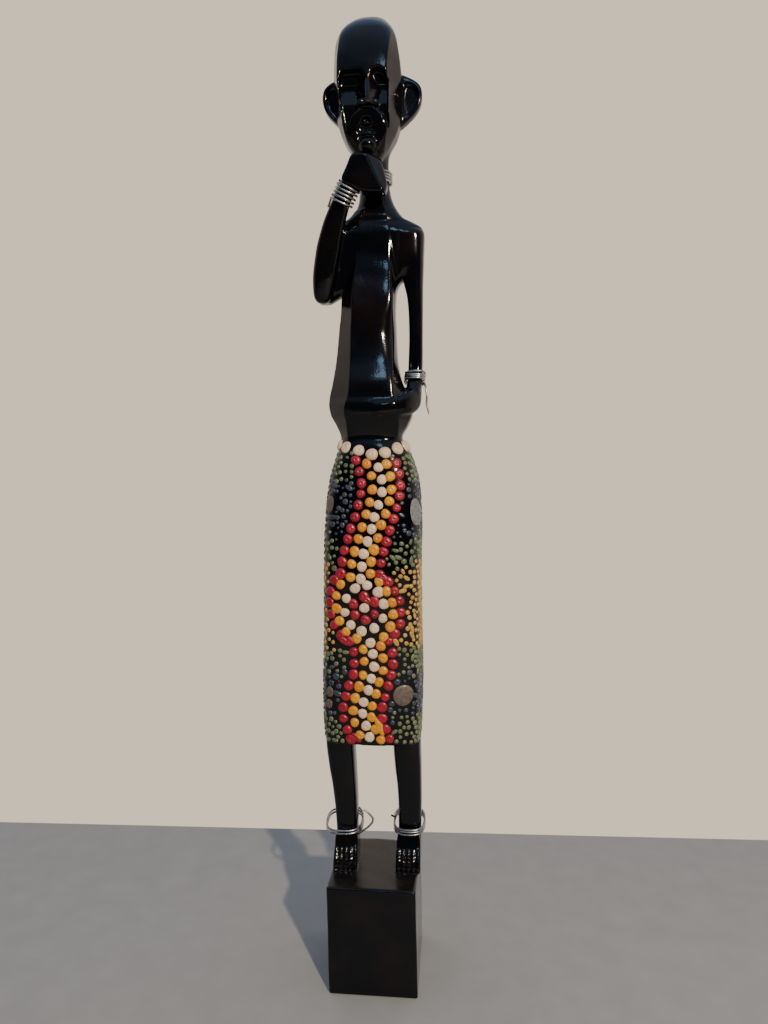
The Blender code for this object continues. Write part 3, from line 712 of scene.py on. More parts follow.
def field_at(steps, points):
    x, y, z = points.T
    total = np.full(len(points), FAR)
    for kind, form, blend in steps:
        near = np.ones(len(points), bool)
        for axis in range(3):
            near &= points[:, axis] > form.low[axis] - REACH
            near &= points[:, axis] < form.high[axis] + REACH
        if near.any():
            field = form.distance(x[near], y[near], z[near])
            total[near] = apply_step(total[near], kind, field, blend)
    return total + uneven(x, y, z)


PROBE = 0.05


def slopes_at(steps, points, value):
    slopes = np.empty_like(points)
    for axis in range(3):
        moved = points.copy()
        moved[:, axis] += PROBE
        slopes[:, axis] = (field_at(steps, moved) - value) / PROBE
    return slopes


def drawn_to_surface(steps, points, rounds=2, most=0.5):
    """Points moved down the field's slope onto the surface, and the surface's normals there."""
    for _ in range(rounds):
        value = field_at(steps, points)
        slopes = slopes_at(steps, points, value)
        square = np.maximum((slopes**2).sum(1), 0.2)
        move = -slopes * (value / square)[:, None]
        length = np.linalg.norm(move, axis=1)
        points = points + move * np.minimum(1.0, most / np.maximum(length, 1e-9))[:, None]
    normals = slopes / np.maximum(np.linalg.norm(slopes, axis=1), 1e-9)[:, None]
    return points, normals


def surface_net(field, xs, ys, zs):
    """Points and four-sided faces of the field's zero surface, one point in each cell that it crosses."""
    inside = field < 0
    axes = (zs, ys, xs)
    cells = tuple(n - 1 for n in field.shape)

    def corner(array, k, j, i):
        return array[k : k + cells[0], j : j + cells[1], i : i + cells[2]]

    corners = [(k, j, i) for k in (0, 1) for j in (0, 1) for i in (0, 1)]
    count = sum(corner(inside, *c).astype(np.int8) for c in corners)
    found = np.argwhere((count > 0) & (count < 8))
    number = np.full(cells, -1, np.int64)
    number[tuple(found.T)] = np.arange(len(found))
    sums = np.zeros((len(found), 3))
    crossings = np.zeros(len(found))
    for start in corners:
        for axis in range(3):
            if start[axis]:
                continue
            end = tuple(1 if a == axis else s for a, s in enumerate(start))
            first = field[tuple((found + start).T)]
            second = field[tuple((found + end).T)]
            crossed = (first < 0) != (second < 0)
            with np.errstate(divide="ignore", invalid="ignore"):
                share = np.where(crossed, first / (first - second), 0.0)
            for a in range(3):
                low = axes[a][found[:, a] + start[a]]
                high = axes[a][found[:, a] + end[a]]
                sums[:, a] += np.where(crossed, low + (high - low) * share, 0.0)
            crossings += crossed
    points = (sums / crossings[:, None])[:, ::-1]
    faces = []
    for axis in range(3):
        others = [a for a in range(3) if a != axis]
        low = [slice(1, -1)] * 3
        low[axis] = slice(0, -1)
        high = list(low)
        high[axis] = slice(1, None)
        first = inside[tuple(low)]
        second = inside[tuple(high)]
        for leaving in (True, False):
            at = np.argwhere((first & ~second) if leaving else (~first & second))
            at[:, others] += 1
            quad = []
            for da, db in ((-1, -1), (0, -1), (0, 0), (-1, 0)):
                cell = at.copy()
                cell[:, others[0]] += da
                cell[:, others[1]] += db
                quad.append(number[tuple(cell.T)])
            quad = np.stack(quad, axis=1)
            flip = leaving == (axis == 1)
            faces.append(quad[:, ::-1] if flip else quad)
    return points, np.concatenate(faces)


def spaced(start, bands):
    """Grid places from a start through bands of (end, spacing)."""
    places = [start]
    for end, spacing in bands:
        count = max(1, round((end - places[-1]) / spacing))
        places.extend(np.linspace(places[-1], end, count + 1)[1:])
    return np.array(places)


def figure_grid():
    xs = spaced(-36.0, [(30.0, 0.82)])
    ys = spaced(-30.0, [(2.0, 0.78), (30.0, 1.15)])
    heights = [
        (-1.0, 1.0),
        (1.6, 0.65),
        (BLOCK_TOP - 2.0, 3.4),
        (BLOCK_TOP + 22.0, 0.7),
        (BLOCK_TOP + 69.0, 1.9),
        (BLOCK_TOP + 75.0, 0.6),
        (BLOCK_TOP + 216.0, 2.4),
        (BLOCK_TOP + 258.0, 0.8),
        (BLOCK_TOP + 296.0, 1.4),
        (BLOCK_TOP + 345.5, 0.9),
        (BLOCK_TOP + 414.0, 0.6),
        (BLOCK_TOP + 446.0, 0.8),
    ]
    return xs, ys, spaced(-2.0, heights)


def mesh_object(name, points, faces, material):
    """A smooth-shaded piece from arrays in millimetres. Its faces have equally many corners."""
    mesh = bpy.data.meshes.new(name)
    sides = faces.shape[1]
    mesh.vertices.add(len(points))
    mesh.vertices.foreach_set("co", (points * MM).astype(np.float32).ravel())
    mesh.loops.add(faces.size)
    mesh.loops.foreach_set("vertex_index", faces.astype(np.int32).ravel())
    mesh.polygons.add(len(faces))
    mesh.polygons.foreach_set("loop_start", np.arange(0, faces.size, sides, dtype=np.int32))
    mesh.polygons.foreach_set("loop_total", np.full(len(faces), sides, np.int32))
    mesh.update(calc_edges=True)
    mesh.validate()
    mesh.shade_smooth()
    mesh.materials.append(material)
    made = bpy.data.objects.new(name, mesh)
    bpy.context.scene.collection.objects.link(made)
    return made


# The paint dots, in millimetres. Heights are above the block; distances across are on the skirt's front
DOT_RADIUS = 2.62
DOT_HEIGHT = 1.15
WAIST_RADIUS = 3.05
WAIST_HEIGHT = 225.0
WAIST_DIP = 4.6  # how far the row of dots hangs in front
WAIST_DIP_MIDDLE = 1.5
WAIST_DIP_HALF = 12.0
WAIST_COUNT = 17
SMALL_RADIUS = 1.16
SMALL_HEIGHT = 0.55
SMALL_SPACING = 2.45
SMALL_TRIES = 40000
SMALL_LONG = 0.11  # the share of small dots that are drawn out
MEANDER = [  # height and place across of the middle line that runs down the skirt
    (74.0, -1.2), (82.4, -4.2), (88.5, -6.0), (100.4, -3.3), (113.0, -0.1), (121.0, -0.4),
    (130.4, -3.6), (142.4, -4.8), (157.3, -6.5), (165.0, -6.0), (181.2, -2.0), (192.0, 1.2),
    (202.0, 3.4), (208.0, 3.0), (214.0, 1.2), (220.0, -0.4),
]
EYE_HEIGHT = 142.6
EYE_HALF = 15.8
STRANDS = [  # colour, distance across from the middle line, more of it at the eye, top, bottom, dots
    ("orange", -5.0, -9.4, 215.3, 77.6, 24),
    ("orange", 4.6, 9.9, 215.1, 74.9, 25),
    ("red", -10.2, -8.0, 217.3, 74.7, 27),
    ("red", 9.6, 9.0, 215.8, 75.6, 27),
]
STRANDS_HALF = 8.0
CREAM_RUNS = [(213.7, 157.3, 10), (125.2, 76.5, 9)]  # top, bottom, dots
CREAM_RING = (10.2, 11.6, 10, 0.12)  # half width, half height, dots, angle of the first
RED_RING = (5.8, 5.9, 6, -0.06)
DISCS = [  # distance round the skirt from its front's middle, height, half width, half height, colour
    (17.0, 98.5, 5.1, 5.5, "brown"), (24.6, 191.0, 5.6, 6.8, "grey"),
    (-22.2, 195.0, 3.2, 4.2, "brown"), (-21.2, 98.9, 2.2, 2.7, "brown"),
    (-21.6, 92.6, 2.0, 2.5, "brown"), (-48.0, 150.0, 5.4, 6.0, "grey"),
    (48.0, 146.0, 5.4, 6.0, "brown"), (-62.0, 196.0, 5.2, 6.0, "brown"),
    (70.0, 98.0, 5.2, 6.0, "grey"), (-78.0, 100.0, 5.2, 5.6, "grey"),
    (78.0, 178.0, 5.0, 5.6, "brown"),
]
SMEARS = [  # drops that ran together: colour, and places of both ends as distance round and height
    ("red", (3.6, 160.8), (9.0, 157.0)),
    ("red", (-16.4, 128.0), (-10.8, 124.4)),
    ("red", (-3.6, 148.6), (0.8, 145.2)),
    ("orange", (3.4, 86.2), (6.4, 78.0)),
    ("red", (-8.6, 77.4), (-5.4, 74.6)),
]
SMEAR_WIDTH = 1.9
ZONES = [  # colour of the small dots down to each height
    (208.0, "green"), (178.0, "blue"), (164.0, "green"), (122.0, "yellow"), (109.0, "green"),
    (88.0, "blue"), (0.0, "green"),
]


def run_along(x, y):
    return np.concatenate([[0.0], np.cumsum(np.hypot(np.diff(x), np.diff(y)))])


def skirt_ring(height, count=360):
    """Points round the skirt at a height, and the distance round to each from the middle of its front."""
    rows = rows_of(SKIRT)
    ring = smooth_rows(rows[:, 0], rows[:, 1:], np.array(float(height)))
    middle_x, middle_y, half_width, half_depth, power = ring
    angle = np.linspace(-math.pi / 2 - math.pi, -math.pi / 2 + math.pi, count + 1)
    cos, sin = np.cos(angle), np.sin(angle)
    x = middle_x + half_width * np.sign(cos) * np.abs(cos) ** (2 / power)
    y = middle_y + half_depth * np.sign(sin) * np.abs(sin) ** (2 / power)
    run = run_along(x, y)
    return x, y, run - run[count // 2]


def on_skirt(places):
    """Points of the skirt from pairs of distance round it and height."""
    points = []
    for across, height in places:
        x, y, run = skirt_ring(height)
        points.append((np.interp(across, run, x), np.interp(across, run, y), height + BLOCK_TOP))
    return np.array(points)


def middle_line(height):
    rows = rows_of(MEANDER)
    skirt_middle = -2.1
    return smooth_rows(rows[:, 0], rows[:, 1:], np.asarray(height, float))[..., 0] - skirt_middle


def bulge(height):
    share = np.clip(1 - ((np.asarray(height) - EYE_HEIGHT) / EYE_HALF) ** 2, 0.0, 1.0)
    return share**0.62


def along_line(line, top, bottom, count):
    """Evenly spaced places down a line."""
    heights = np.linspace(top, bottom, 400)
    across = line(heights)
    run = run_along(across, heights)
    at = np.linspace(0, run[-1], count)
    return list(zip(np.interp(at, run, across), np.interp(at, run, heights)))


def round_ring(half_width, half_height, count, start):
    middle = float(middle_line(EYE_HEIGHT))
    angles = [start + 2 * math.pi * i / count for i in range(count)]
    return [(middle + half_width * math.sin(a), EYE_HEIGHT + half_height * math.cos(a)) for a in angles]


def big_dots():
    """Places of the large dots by colour, with their radius."""
    dots = {"cream": [], "orange": [], "red": []}
    for top, bottom, count in CREAM_RUNS:
        dots["cream"] += along_line(middle_line, top, bottom, count)
    dots["cream"] += round_ring(*CREAM_RING)
    dots["cream"].append((float(middle_line(EYE_HEIGHT)), EYE_HEIGHT))
    dots["red"] += round_ring(*RED_RING)
    for colour, offset, more, top, bottom, count in STRANDS:

        def line(height, offset=offset, more=more):
            return middle_line(height) + offset + more * bulge(height)

        dots[colour] += along_line(line, top, bottom, count)
    return dots


def waist_dots():
    """A row of large dots all round, which hangs lower in front."""
    run = skirt_ring(WAIST_HEIGHT - WAIST_DIP / 2)[2]
    around = run[-1] - run[0]
    places = []
    for i in range(WAIST_COUNT):
        across = -around / 2 + around * (i + 0.52) / WAIST_COUNT
        dip = WAIST_DIP * math.exp(-(((across - WAIST_DIP_MIDDLE) / WAIST_DIP_HALF) ** 2))
        places.append((across, WAIST_HEIGHT - dip))
    return places


def between_strands(across, height):
    return abs(across - middle_line(height)) < STRANDS_HALF + 9.0 * bulge(height)


def small_dots(taken, chance):
    """Small dots strewn evenly over what the large dots leave of the skirt."""
    half_around = skirt_ring(120.0)[2][-1]
    places = np.empty((SMALL_TRIES, 2))
    count = 0
    across_tries = chance.uniform(-half_around, half_around, SMALL_TRIES)
    height_tries = chance.uniform(73.4, 221.5, SMALL_TRIES)
    for across, height in zip(across_tries, height_tries):
        if abs(across) > skirt_half_around(height) - 0.5:
            continue
        gap = np.hypot(taken[:, 0] - across, taken[:, 1] - height) - taken[:, 2]
        if gap.min() < SMALL_RADIUS * 0.95 or between_strands(across, height):
            continue
        kept = places[:count]
        if count and np.hypot(kept[:, 0] - across, kept[:, 1] - height).min() < SMALL_SPACING:
            continue
        places[count] = (across, height)
        count += 1
    return places[:count]


HALF_AROUND = {}


def skirt_half_around(height):
    key = round(height)
    if key not in HALF_AROUND:
        HALF_AROUND[key] = skirt_ring(key)[2][-1]
    return HALF_AROUND[key]


def zone_colour(height, chance):
    height += chance.normal() * 2.2
    for lowest, colour in ZONES:
        if height > lowest:
            return colour
    return ZONES[-1][1]


def dome_points(height, sides, rings, dimple, chance):
    """A drop of thick paint of radius one: rows from its rim up to the dimple where the tool left it."""
    phase = chance.uniform(0, 2 * math.pi, 3)
    angle = np.linspace(0, 2 * math.pi, sides, endpoint=False)
    outline = 1 + 0.035 * np.sin(2 * angle + phase[0]) + 0.03 * np.sin(3 * angle + phase[1])
    depth, width = dimple
    rows = []
    for share in rings:
        level = (1 - share**2.6) ** 0.6 if share < 1 else -0.12
        folds = 1 + 0.09 * np.sin(6 * angle + phase[2]) * share * (1 - share) * 4
        level -= depth * math.exp(-((share / width) ** 2))
        x = share * outline * np.cos(angle)
        y = share * outline * np.sin(angle)
        rows.append(np.column_stack([x, y, height * level * folds]))
    return np.vstack(rows + [[(0.0, 0.0, height * (1 - depth))]])


def dome_faces(sides, rings):
    faces = []
    for ring in range(rings - 1):
        for i in range(sides):
            j = (i + 1) % sides
            a, b = ring * sides + i, ring * sides + j
            faces.append((a, b, b + sides))
            faces.append((a, b + sides, a + sides))
    tip = rings * sides
    for i in range(sides):
        faces.append(((rings - 1) * sides + i, (rings - 1) * sides + (i + 1) % sides, tip))
    return np.array(faces)


def dots_piece(name, steps, dots, drop_form, material, chance):
    """One piece of many drops. A dot is a place on the skirt, two half sizes, a height and a turn."""
    rings, sides, dimple = drop_form
    places = [dot[:2] for dot in dots]
    points, normals = drawn_to_surface(steps, on_skirt(places), 3)
    up = np.array((0.0, 0.0, 1.0))
    pattern = dome_faces(sides, len(rings))
    all_points, all_faces = [], []
    count = 0
    for point, normal, dot in zip(points, normals, dots):
        _, _, half_width, half_height, height, turn = dot
        across = unit(np.cross(up, normal))
        rise = np.cross(normal, across)
        drop = dome_points(height, sides, rings, dimple, chance)
        x, y = drop[:, 0] * half_width, drop[:, 1] * half_height
        cos, sin = math.cos(turn), math.sin(turn)
        x, y = x * cos - y * sin, x * sin + y * cos
        placed = point + np.outer(x, across) + np.outer(y, rise) + np.outer(drop[:, 2], normal)
        all_points.append(placed)
        all_faces.append(pattern + count)
        count += len(placed)
    return mesh_object(name, np.vstack(all_points), np.vstack(all_faces), material)


def varied(places, radius, height, chance, shift=0.28, change=0.05):
    dots = []
    for across, level in places:
        size = radius * (1 + chance.normal() * change)
        dots.append(
            (
                across + chance.normal() * shift * 0.6,
                level + chance.normal() * shift * 0.6,
                size * (1 + chance.normal() * 0.02),
                size * (1 + chance.normal() * 0.02),
                height * (1 + chance.normal() * 0.08),
                chance.uniform(0, math.pi),
            )
        )
    return dots


SMALL_CHANGE = {"green": 0.12, "yellow": 0.12, "blue": 0.26}
# Drops: shares of the radius where their rings lie, sides, and the dimple's depth (a share of the drop's
# height) and width (a share of its radius)
BIG_DROP = ((1.0, 0.93, 0.8, 0.6, 0.4, 0.28, 0.16), 16, (0.30, 0.20))
SMALL_DROP = ((1.0, 0.85, 0.55, 0.28), 9, (0.34, 0.34))
FLAT_DROP = ((1.0, 0.93, 0.75, 0.5, 0.25), 28, (0.03, 0.5))
DISC_HEIGHT = 0.55
DISC_MARGIN = 0.6
LONG_STRETCH = (1.7, 0.9)


def smear(start, end):
    """A drawn-out drop between two places."""
    run, rise = end[0] - start[0], end[1] - start[1]
    middle = ((start[0] + end[0]) / 2, (start[1] + end[1]) / 2)
    half_length = math.hypot(run, rise) / 2 + SMEAR_WIDTH * 0.6
    return (*middle, half_length, SMEAR_WIDTH, DOT_HEIGHT * 0.95, math.atan2(rise, run))


def paint_dots(steps, paints):
    chance = np.random.default_rng(SEED)
    pieces = []
    taken = []
    big = big_dots()
    waist = varied(waist_dots(), WAIST_RADIUS, DOT_HEIGHT * 1.1, chance)
    for colour, places in big.items():
        dots = varied(places, DOT_RADIUS, DOT_HEIGHT, chance)
        if colour == "cream":
            dots += waist
        dots += [smear(start, end) for name, start, end in SMEARS if name == colour]
        taken += [(d[0], d[1], d[2]) for d in dots]
        name = f"{colour}_dots"
        pieces.append(dots_piece(name, steps, dots, BIG_DROP, paints[colour], chance))
    for colour in ("brown", "grey"):
        discs = []
        for across, height, half_width, half_height, name in DISCS:
            if name == colour:
                discs.append((across, height, half_width, half_height, DISC_HEIGHT, 0.0))
                taken.append((across, height, max(half_width, half_height) + DISC_MARGIN))
        pieces.append(dots_piece(f"{colour}_discs", steps, discs, FLAT_DROP, paints[colour], chance))
    by_colour = {}
    for across, height in small_dots(np.array(taken), chance):
        by_colour.setdefault(zone_colour(height, chance), []).append((across, height))
    for colour, places in by_colour.items():
        dots = varied(places, SMALL_RADIUS, SMALL_HEIGHT, chance, 0.2, SMALL_CHANGE[colour])
        for i, dot in enumerate(dots):
            if chance.uniform() < SMALL_LONG:
                dots[i] = (*dot[:2], dot[2] * LONG_STRETCH[0], dot[3] * LONG_STRETCH[1], *dot[4:])
        name = f"small_{colour}_dots"
        pieces.append(dots_piece(name, steps, dots, SMALL_DROP, paints[colour], chance))
    return pieces


# The wires, in millimetres. Free ends are points: x, y, height above the block
WIRE_DIAMETER = 1.1
WIRE_OUTSIDE = 0.5 + WIRE_DIAMETER / 2
EVEN_PITCH = 1.9
CLOSE_PITCH = 1.4
BUNCHED_PITCH = 1.22
TURN_POINTS = 40
END_PARTS = 6  # samples between the points of a free end
WRIST_SPAN = 2.4
RIGHT_WRIST_HEIGHT = 349.6
RIGHT_WRIST_END = (-24.2, -12.4, 344.6)
LEFT_WRIST_HEIGHT = 260.0
LEFT_WRIST_END = [
    (26.8, -4.0, 241.2), (26.1, -4.0, 243.7), (25.4, -4.0, 246.9), (25.6, -4.0, 249.9),
    (25.2, -3.6, 252.9), (24.8, -3.4, 255.4),
]
NECK_WIRE_HEIGHT = 361.6
ANKLE_HEIGHT = 20.5
RIGHT_ANKLE = ((-1.5, -0.2, 0.3), (2.6, 1.7), 14.0, 2.4, -0.7)
RIGHT_ANKLE_END = [
    (-7.4, -4.0, 30.9), (-4.5, -4.0, 28.5), (-2.6, -4.0, 25.9), (-2.9, -4.0, 24.2),
    (-4.7, -4.0, 21.9),
]
LEFT_ANKLE = ((-0.3, -0.1, 1.6), (0.9, 1.5), 10.0, 3.0, math.pi)
LEFT_ANKLE_END = (6.9, 2.0, 25.6)


def rounded(angle, power):
    across = np.sign(np.cos(angle)) * np.abs(np.cos(angle)) ** (2 / power)
    along = np.sign(np.sin(angle)) * np.abs(np.sin(angle)) ** (2 / power)
    return across, along


def coil(middle, first, second, half_first, half_second, power, turns, pitch, start, tangle=0.0):
    way = unit(np.cross(first, second))
    turn = np.linspace(0, turns, round(turns * TURN_POINTS) + 1)
    across, along = rounded(start + 2 * math.pi * turn, power)
    rise = np.outer(pitch * (turn - turns / 2), way)
    wobble = 0.10 * np.sin(2 * math.pi * turn * 1.37 + start) + 0.07 * np.sin(2 * math.pi * turn * 2.71)
    wobble += tangle * np.sin(2 * math.pi * turn * 1.29 + 0.8)
    looseness = 1 + 0.10 * tangle * np.sin(2 * math.pi * turn * 0.77)
    across, along = across * looseness, along * looseness
    points = middle + rise + np.outer(half_first * across, first) + np.outer(half_second * along, second)
    return points + np.outer(wobble, way)


def at_height(rows, height):
    order = rows[:, 2].argsort()
    return [np.interp(height, rows[order, 2], rows[order, i]) for i in range(rows.shape[1])]


def upright_rows(table):
    return rows_of(table)[:, [1, 2, 0, 3, 4]]


def wrist_coil(table, height, turns, pitch, start, slack, tangle=0.0):
    rows = rows_of(table)
    x, y, _, half_width, half_thickness = at_height(rows, height)
    below = np.array(at_height(rows, height - WRIST_SPAN)[:3])
    above = np.array(at_height(rows, height + WRIST_SPAN)[:3])
    way = unit(above - below)
    across = np.array((1.0, 0.0, 0.0))
    first = unit(across - way * way.dot(across))
    second = np.cross(way, first)
    sizes = (half_width + slack + WIRE_OUTSIDE, half_thickness + slack + WIRE_OUTSIDE)
    return coil(np.array((x, y, height)), first, second, *sizes, SOFT, turns, pitch, start, tangle)


def ankle_coil(leg, shift, slack, tilt, turns, start, pitch):
    x, y, _, half_width, half_depth = at_height(upright_rows(leg), ANKLE_HEIGHT)
    first = np.array((1.0, 0.0, 0.0))
    second = np.array((0.0, math.cos(math.radians(tilt)), math.sin(math.radians(tilt))))
    middle = np.array((x + shift[0], y + shift[1], ANKLE_HEIGHT + shift[2]))
    sizes = (half_width + slack[0] + WIRE_OUTSIDE, half_depth + slack[1] + WIRE_OUTSIDE)
    return coil(middle, first, second, *sizes, SOFT, turns, pitch, start)


def neck_coil(turns, pitch, start):
    x, y, _, half_width, half_depth = at_height(upright_rows(SHOULDERS), NECK_WIRE_HEIGHT)
    first = np.array((1.0, 0.0, 0.0))
    second = np.array((0.0, 1.0, 0.0))
    middle = np.array((x, y, NECK_WIRE_HEIGHT))
    sizes = (half_width + WIRE_OUTSIDE, half_depth + WIRE_OUTSIDE)
    return coil(middle, first, second, *sizes, ROUND, turns, pitch, start)


def free_end(points, joint):
    """A smooth curve through a free end's points, up to where the coil starts."""
    points = np.array([*points, joint], float)
    stations = np.arange(len(points), dtype=float)
    count = (len(points) - 1) * END_PARTS + 1
    return smooth_rows(stations, points, np.linspace(0, len(points) - 1, count))[:-1]


def wire(name, points, metal):
    points = (np.array(points) + (0.0, 0.0, BLOCK_TOP)) * MM
    curve = bpy.data.curves.new(name, "CURVE")
    curve.dimensions = "3D"
    curve.bevel_depth = WIRE_DIAMETER / 2 * MM
    curve.bevel_resolution = 3
    curve.use_fill_caps = True
    spline = curve.splines.new("POLY")
    spline.points.add(len(points) - 1)
    for target, point in zip(spline.points, points):
        target.co = (*point, 1.0)
    made = bpy.data.objects.new(name, curve)
    bpy.context.scene.collection.objects.link(made)
    curve.materials.append(metal)
    return made


def wires(metal):
    made = {}
    points = wrist_coil(RIGHT_FOREARM, RIGHT_WRIST_HEIGHT, 5.0, EVEN_PITCH, math.pi, 0.3)
    made["right_wrist_wire"] = np.vstack([[RIGHT_WRIST_END], points])
    points = wrist_coil(LEFT_ARM, LEFT_WRIST_HEIGHT, 4.6, BUNCHED_PITCH, -0.35, 0.25, 0.22)
    made["left_wrist_wire"] = np.vstack([free_end(LEFT_WRIST_END, points[0]), points])
    made["neck_wire"] = neck_coil(4.0, CLOSE_PITCH, math.pi / 2)
    points = ankle_coil(RIGHT_LEG, *RIGHT_ANKLE, EVEN_PITCH)
    made["right_ankle_wire"] = np.vstack([free_end(RIGHT_ANKLE_END, points[0]), points])
    points = ankle_coil(LEFT_LEG, *LEFT_ANKLE, CLOSE_PITCH)
    made["left_ankle_wire"] = np.vstack([points, [LEFT_ANKLE_END]])
    for node, points in made.items():
        piece = wire(f"wound_{node}", points, metal)
        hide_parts(node)
        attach(piece, "root")


# Materials


def put(tree, node, values):
    """Fills a node's inputs. An output of another node is linked, and anything else is set."""
    for key, value in values.items():
        if isinstance(value, bpy.types.NodeSocket):
            tree.links.new(value, node.inputs[key])
        else:
            node.inputs[key].default_value = value


def add(tree, kind, values=None, **settings):
    made = tree.nodes.new(kind)
    for name, setting in settings.items():
        setattr(made, name, setting)
    put(tree, made, values or {})
    return made


def new_material(name):
    made = bpy.data.materials.new(name)
    made.use_nodes = True
    return made, made.node_tree, made.node_tree.nodes["Principled BSDF"]


def object_places(tree):
    return add(tree, "ShaderNodeTexCoord").outputs["Object"]


def noise(tree, places, scale, detail=3.0, stretch=None):
    if stretch is not None:
        places = add(tree, "ShaderNodeMapping", {"Scale": stretch, "Vector": places}).outputs["Vector"]
    values = {"Scale": scale, "Detail": detail, "Vector": places}
    return add(tree, "ShaderNodeTexNoise", values).outputs["Fac"]


def ranged(tree, value, low, high, to_low=0.0, to_high=1.0):
    values = {"From Min": low, "From Max": high, "To Min": to_low, "To Max": to_high, "Value": value}
    return add(tree, "ShaderNodeMapRange", values).outputs["Result"]


def mixed(tree, share, first, second):
    values = {"A": first, "B": second, "Factor": share}
    return add(tree, "ShaderNodeMix", values, data_type="RGBA").outputs["Result"]


def maths(tree, operation, *values):
    return add(tree, "ShaderNodeMath", dict(enumerate(values)), operation=operation).outputs["Value"]


def along_axis(tree, vector, axis):
    return add(tree, "ShaderNodeSeparateXYZ", {"Vector": vector}).outputs[axis]


def bump(tree, height, strength, distance, before=None):
    values = {"Strength": strength, "Distance": distance, "Height": height}
    if before is not None:
        values["Normal"] = before
    return add(tree, "ShaderNodeBump", values).outputs["Normal"]


DUST_LEVEL = 0.0575  # metres above the floor, just over the block's top
DUST_ROUGHNESS = 0.22
GLOSS = (0.07, 0.13)  # the roughness of the paint, from its clearest to its dullest patches
PAINT_SPECULAR = 0.36
UPRIGHT_STRETCH = (1.0, 1.0, 0.10)


def black_paint():
    """Gloss black over wood: fine specks, faint upright grain, dull patches, dust on the block's top."""
    made, tree, shader = new_material("black_gloss_paint")
    places = object_places(tree)
    grain = noise(tree, places, 420.0, 4.0, UPRIGHT_STRETCH)
    specks = noise(tree, places, 1100.0, 2.0)
    patches = noise(tree, places, 45.0, 3.0)
    wear = ranged(tree, patches, 0.5, 0.8)
    colour = mixed(tree, wear, (0.0022, 0.0024, 0.0034, 1.0), (0.009, 0.005, 0.004, 1.0))
    low = ranged(tree, along_axis(tree, places, "Z"), DUST_LEVEL, DUST_LEVEL - 0.001)
    normal = add(tree, "ShaderNodeNewGeometry").outputs["Normal"]
    up = ranged(tree, along_axis(tree, normal, "Z"), 0.6, 0.95)
    blotches = ranged(tree, noise(tree, places, 90.0, 5.0), 0.3, 0.65, 0.25, 1.0)
    dust = maths(tree, "MULTIPLY", maths(tree, "MULTIPLY", low, up), blotches)
    roughness = ranged(tree, patches, 0.3, 0.7, *GLOSS)
    fine = bump(tree, specks, 0.09, 0.0003)
    values = {
        "Base Color": mixed(tree, dust, colour, (0.012, 0.009, 0.007, 1.0)),
        "Roughness": maths(tree, "MULTIPLY_ADD", dust, DUST_ROUGHNESS, roughness),
        "Specular IOR Level": PAINT_SPECULAR,
        "Normal": bump(tree, grain, 0.10, 0.0004, fine),
    }
    put(tree, shader, values)
    return made


def dot_paint(name, colour, shade, roughness=0.34, mottle=130.0):
    """Thick craft paint, its colour a little uneven from drop to drop and darker in streaks."""
    made, tree, shader = new_material(name)
    places = object_places(tree)
    broad = ranged(tree, noise(tree, places, mottle, 2.0), 0.35, 0.7)
    fine = noise(tree, places, 1400.0, 4.0)
    values = {
        "Base Color": mixed(tree, broad, colour, shade),
        "Roughness": roughness,
        "Coat Weight": 0.25,
        "Coat Roughness": 0.18,
        "Normal": bump(tree, fine, 0.35, 0.0004),
    }
    put(tree, shader, values)
    return made


def bare_metal():
    made, tree, shader = new_material("bare_metal_wire")
    dull = noise(tree, object_places(tree), 300.0)
    patches = ranged(tree, dull, 0.35, 0.75)
    values = {
        "Base Color": mixed(tree, patches, (0.58, 0.57, 0.54, 1.0), (0.22, 0.21, 0.19, 1.0)),
        "Roughness": ranged(tree, dull, 0.3, 0.7, 0.2, 0.42),
        "Metallic": 1.0,
        "Normal": bump(tree, dull, 0.15, 0.0003),
    }
    put(tree, shader, values)
    return made


# Paints: colour, the shade of its streaks, and for the discs their roughness and mottle
PAINTS = {
    "cream": ((0.88, 0.68, 0.47, 1.0), (0.72, 0.48, 0.30, 1.0)),
    "orange": ((0.78, 0.34, 0.006, 1.0), (0.66, 0.22, 0.006, 1.0)),
    "red": ((0.38, 0.010, 0.030, 1.0), (0.24, 0.006, 0.016, 1.0)),
    "green": ((0.15, 0.185, 0.085, 1.0), (0.10, 0.12, 0.05, 1.0)),
    "yellow": ((0.60, 0.37, 0.085, 1.0), (0.44, 0.24, 0.04, 1.0)),
    "blue": ((0.05, 0.062, 0.085, 1.0), (0.030, 0.034, 0.052, 1.0)),
    "brown": ((0.15, 0.11, 0.08, 1.0), (0.085, 0.065, 0.055, 1.0), 0.5, 700.0),
    "grey": ((0.25, 0.245, 0.235, 1.0), (0.13, 0.125, 0.12, 1.0), 0.5, 700.0),
}


def paint_set():
    return {colour: dot_paint(f"{colour}_paint", *values) for colour, values in PAINTS.items()}


# Stage, light and camera
FLOOR_FRONT = -1400.0
FLOOR_BACK = (153.1, 0.042)  # the floor's far edge, where the pale backdrop starts, and its slant
FLOOR_HALF_WIDTH = 1300.0


def stage_paint():
    """Pale matt floor with a very faint mottle."""
    made, tree, shader = new_material("stage_paint")
    mottle = noise(tree, object_places(tree), 60.0, 4.0)
    colour = mixed(tree, mottle, (0.31, 0.29, 0.265, 1.0), (0.38, 0.355, 0.325, 1.0))
    put(tree, shader, {"Base Color": colour, "Roughness": 0.9})
    return made


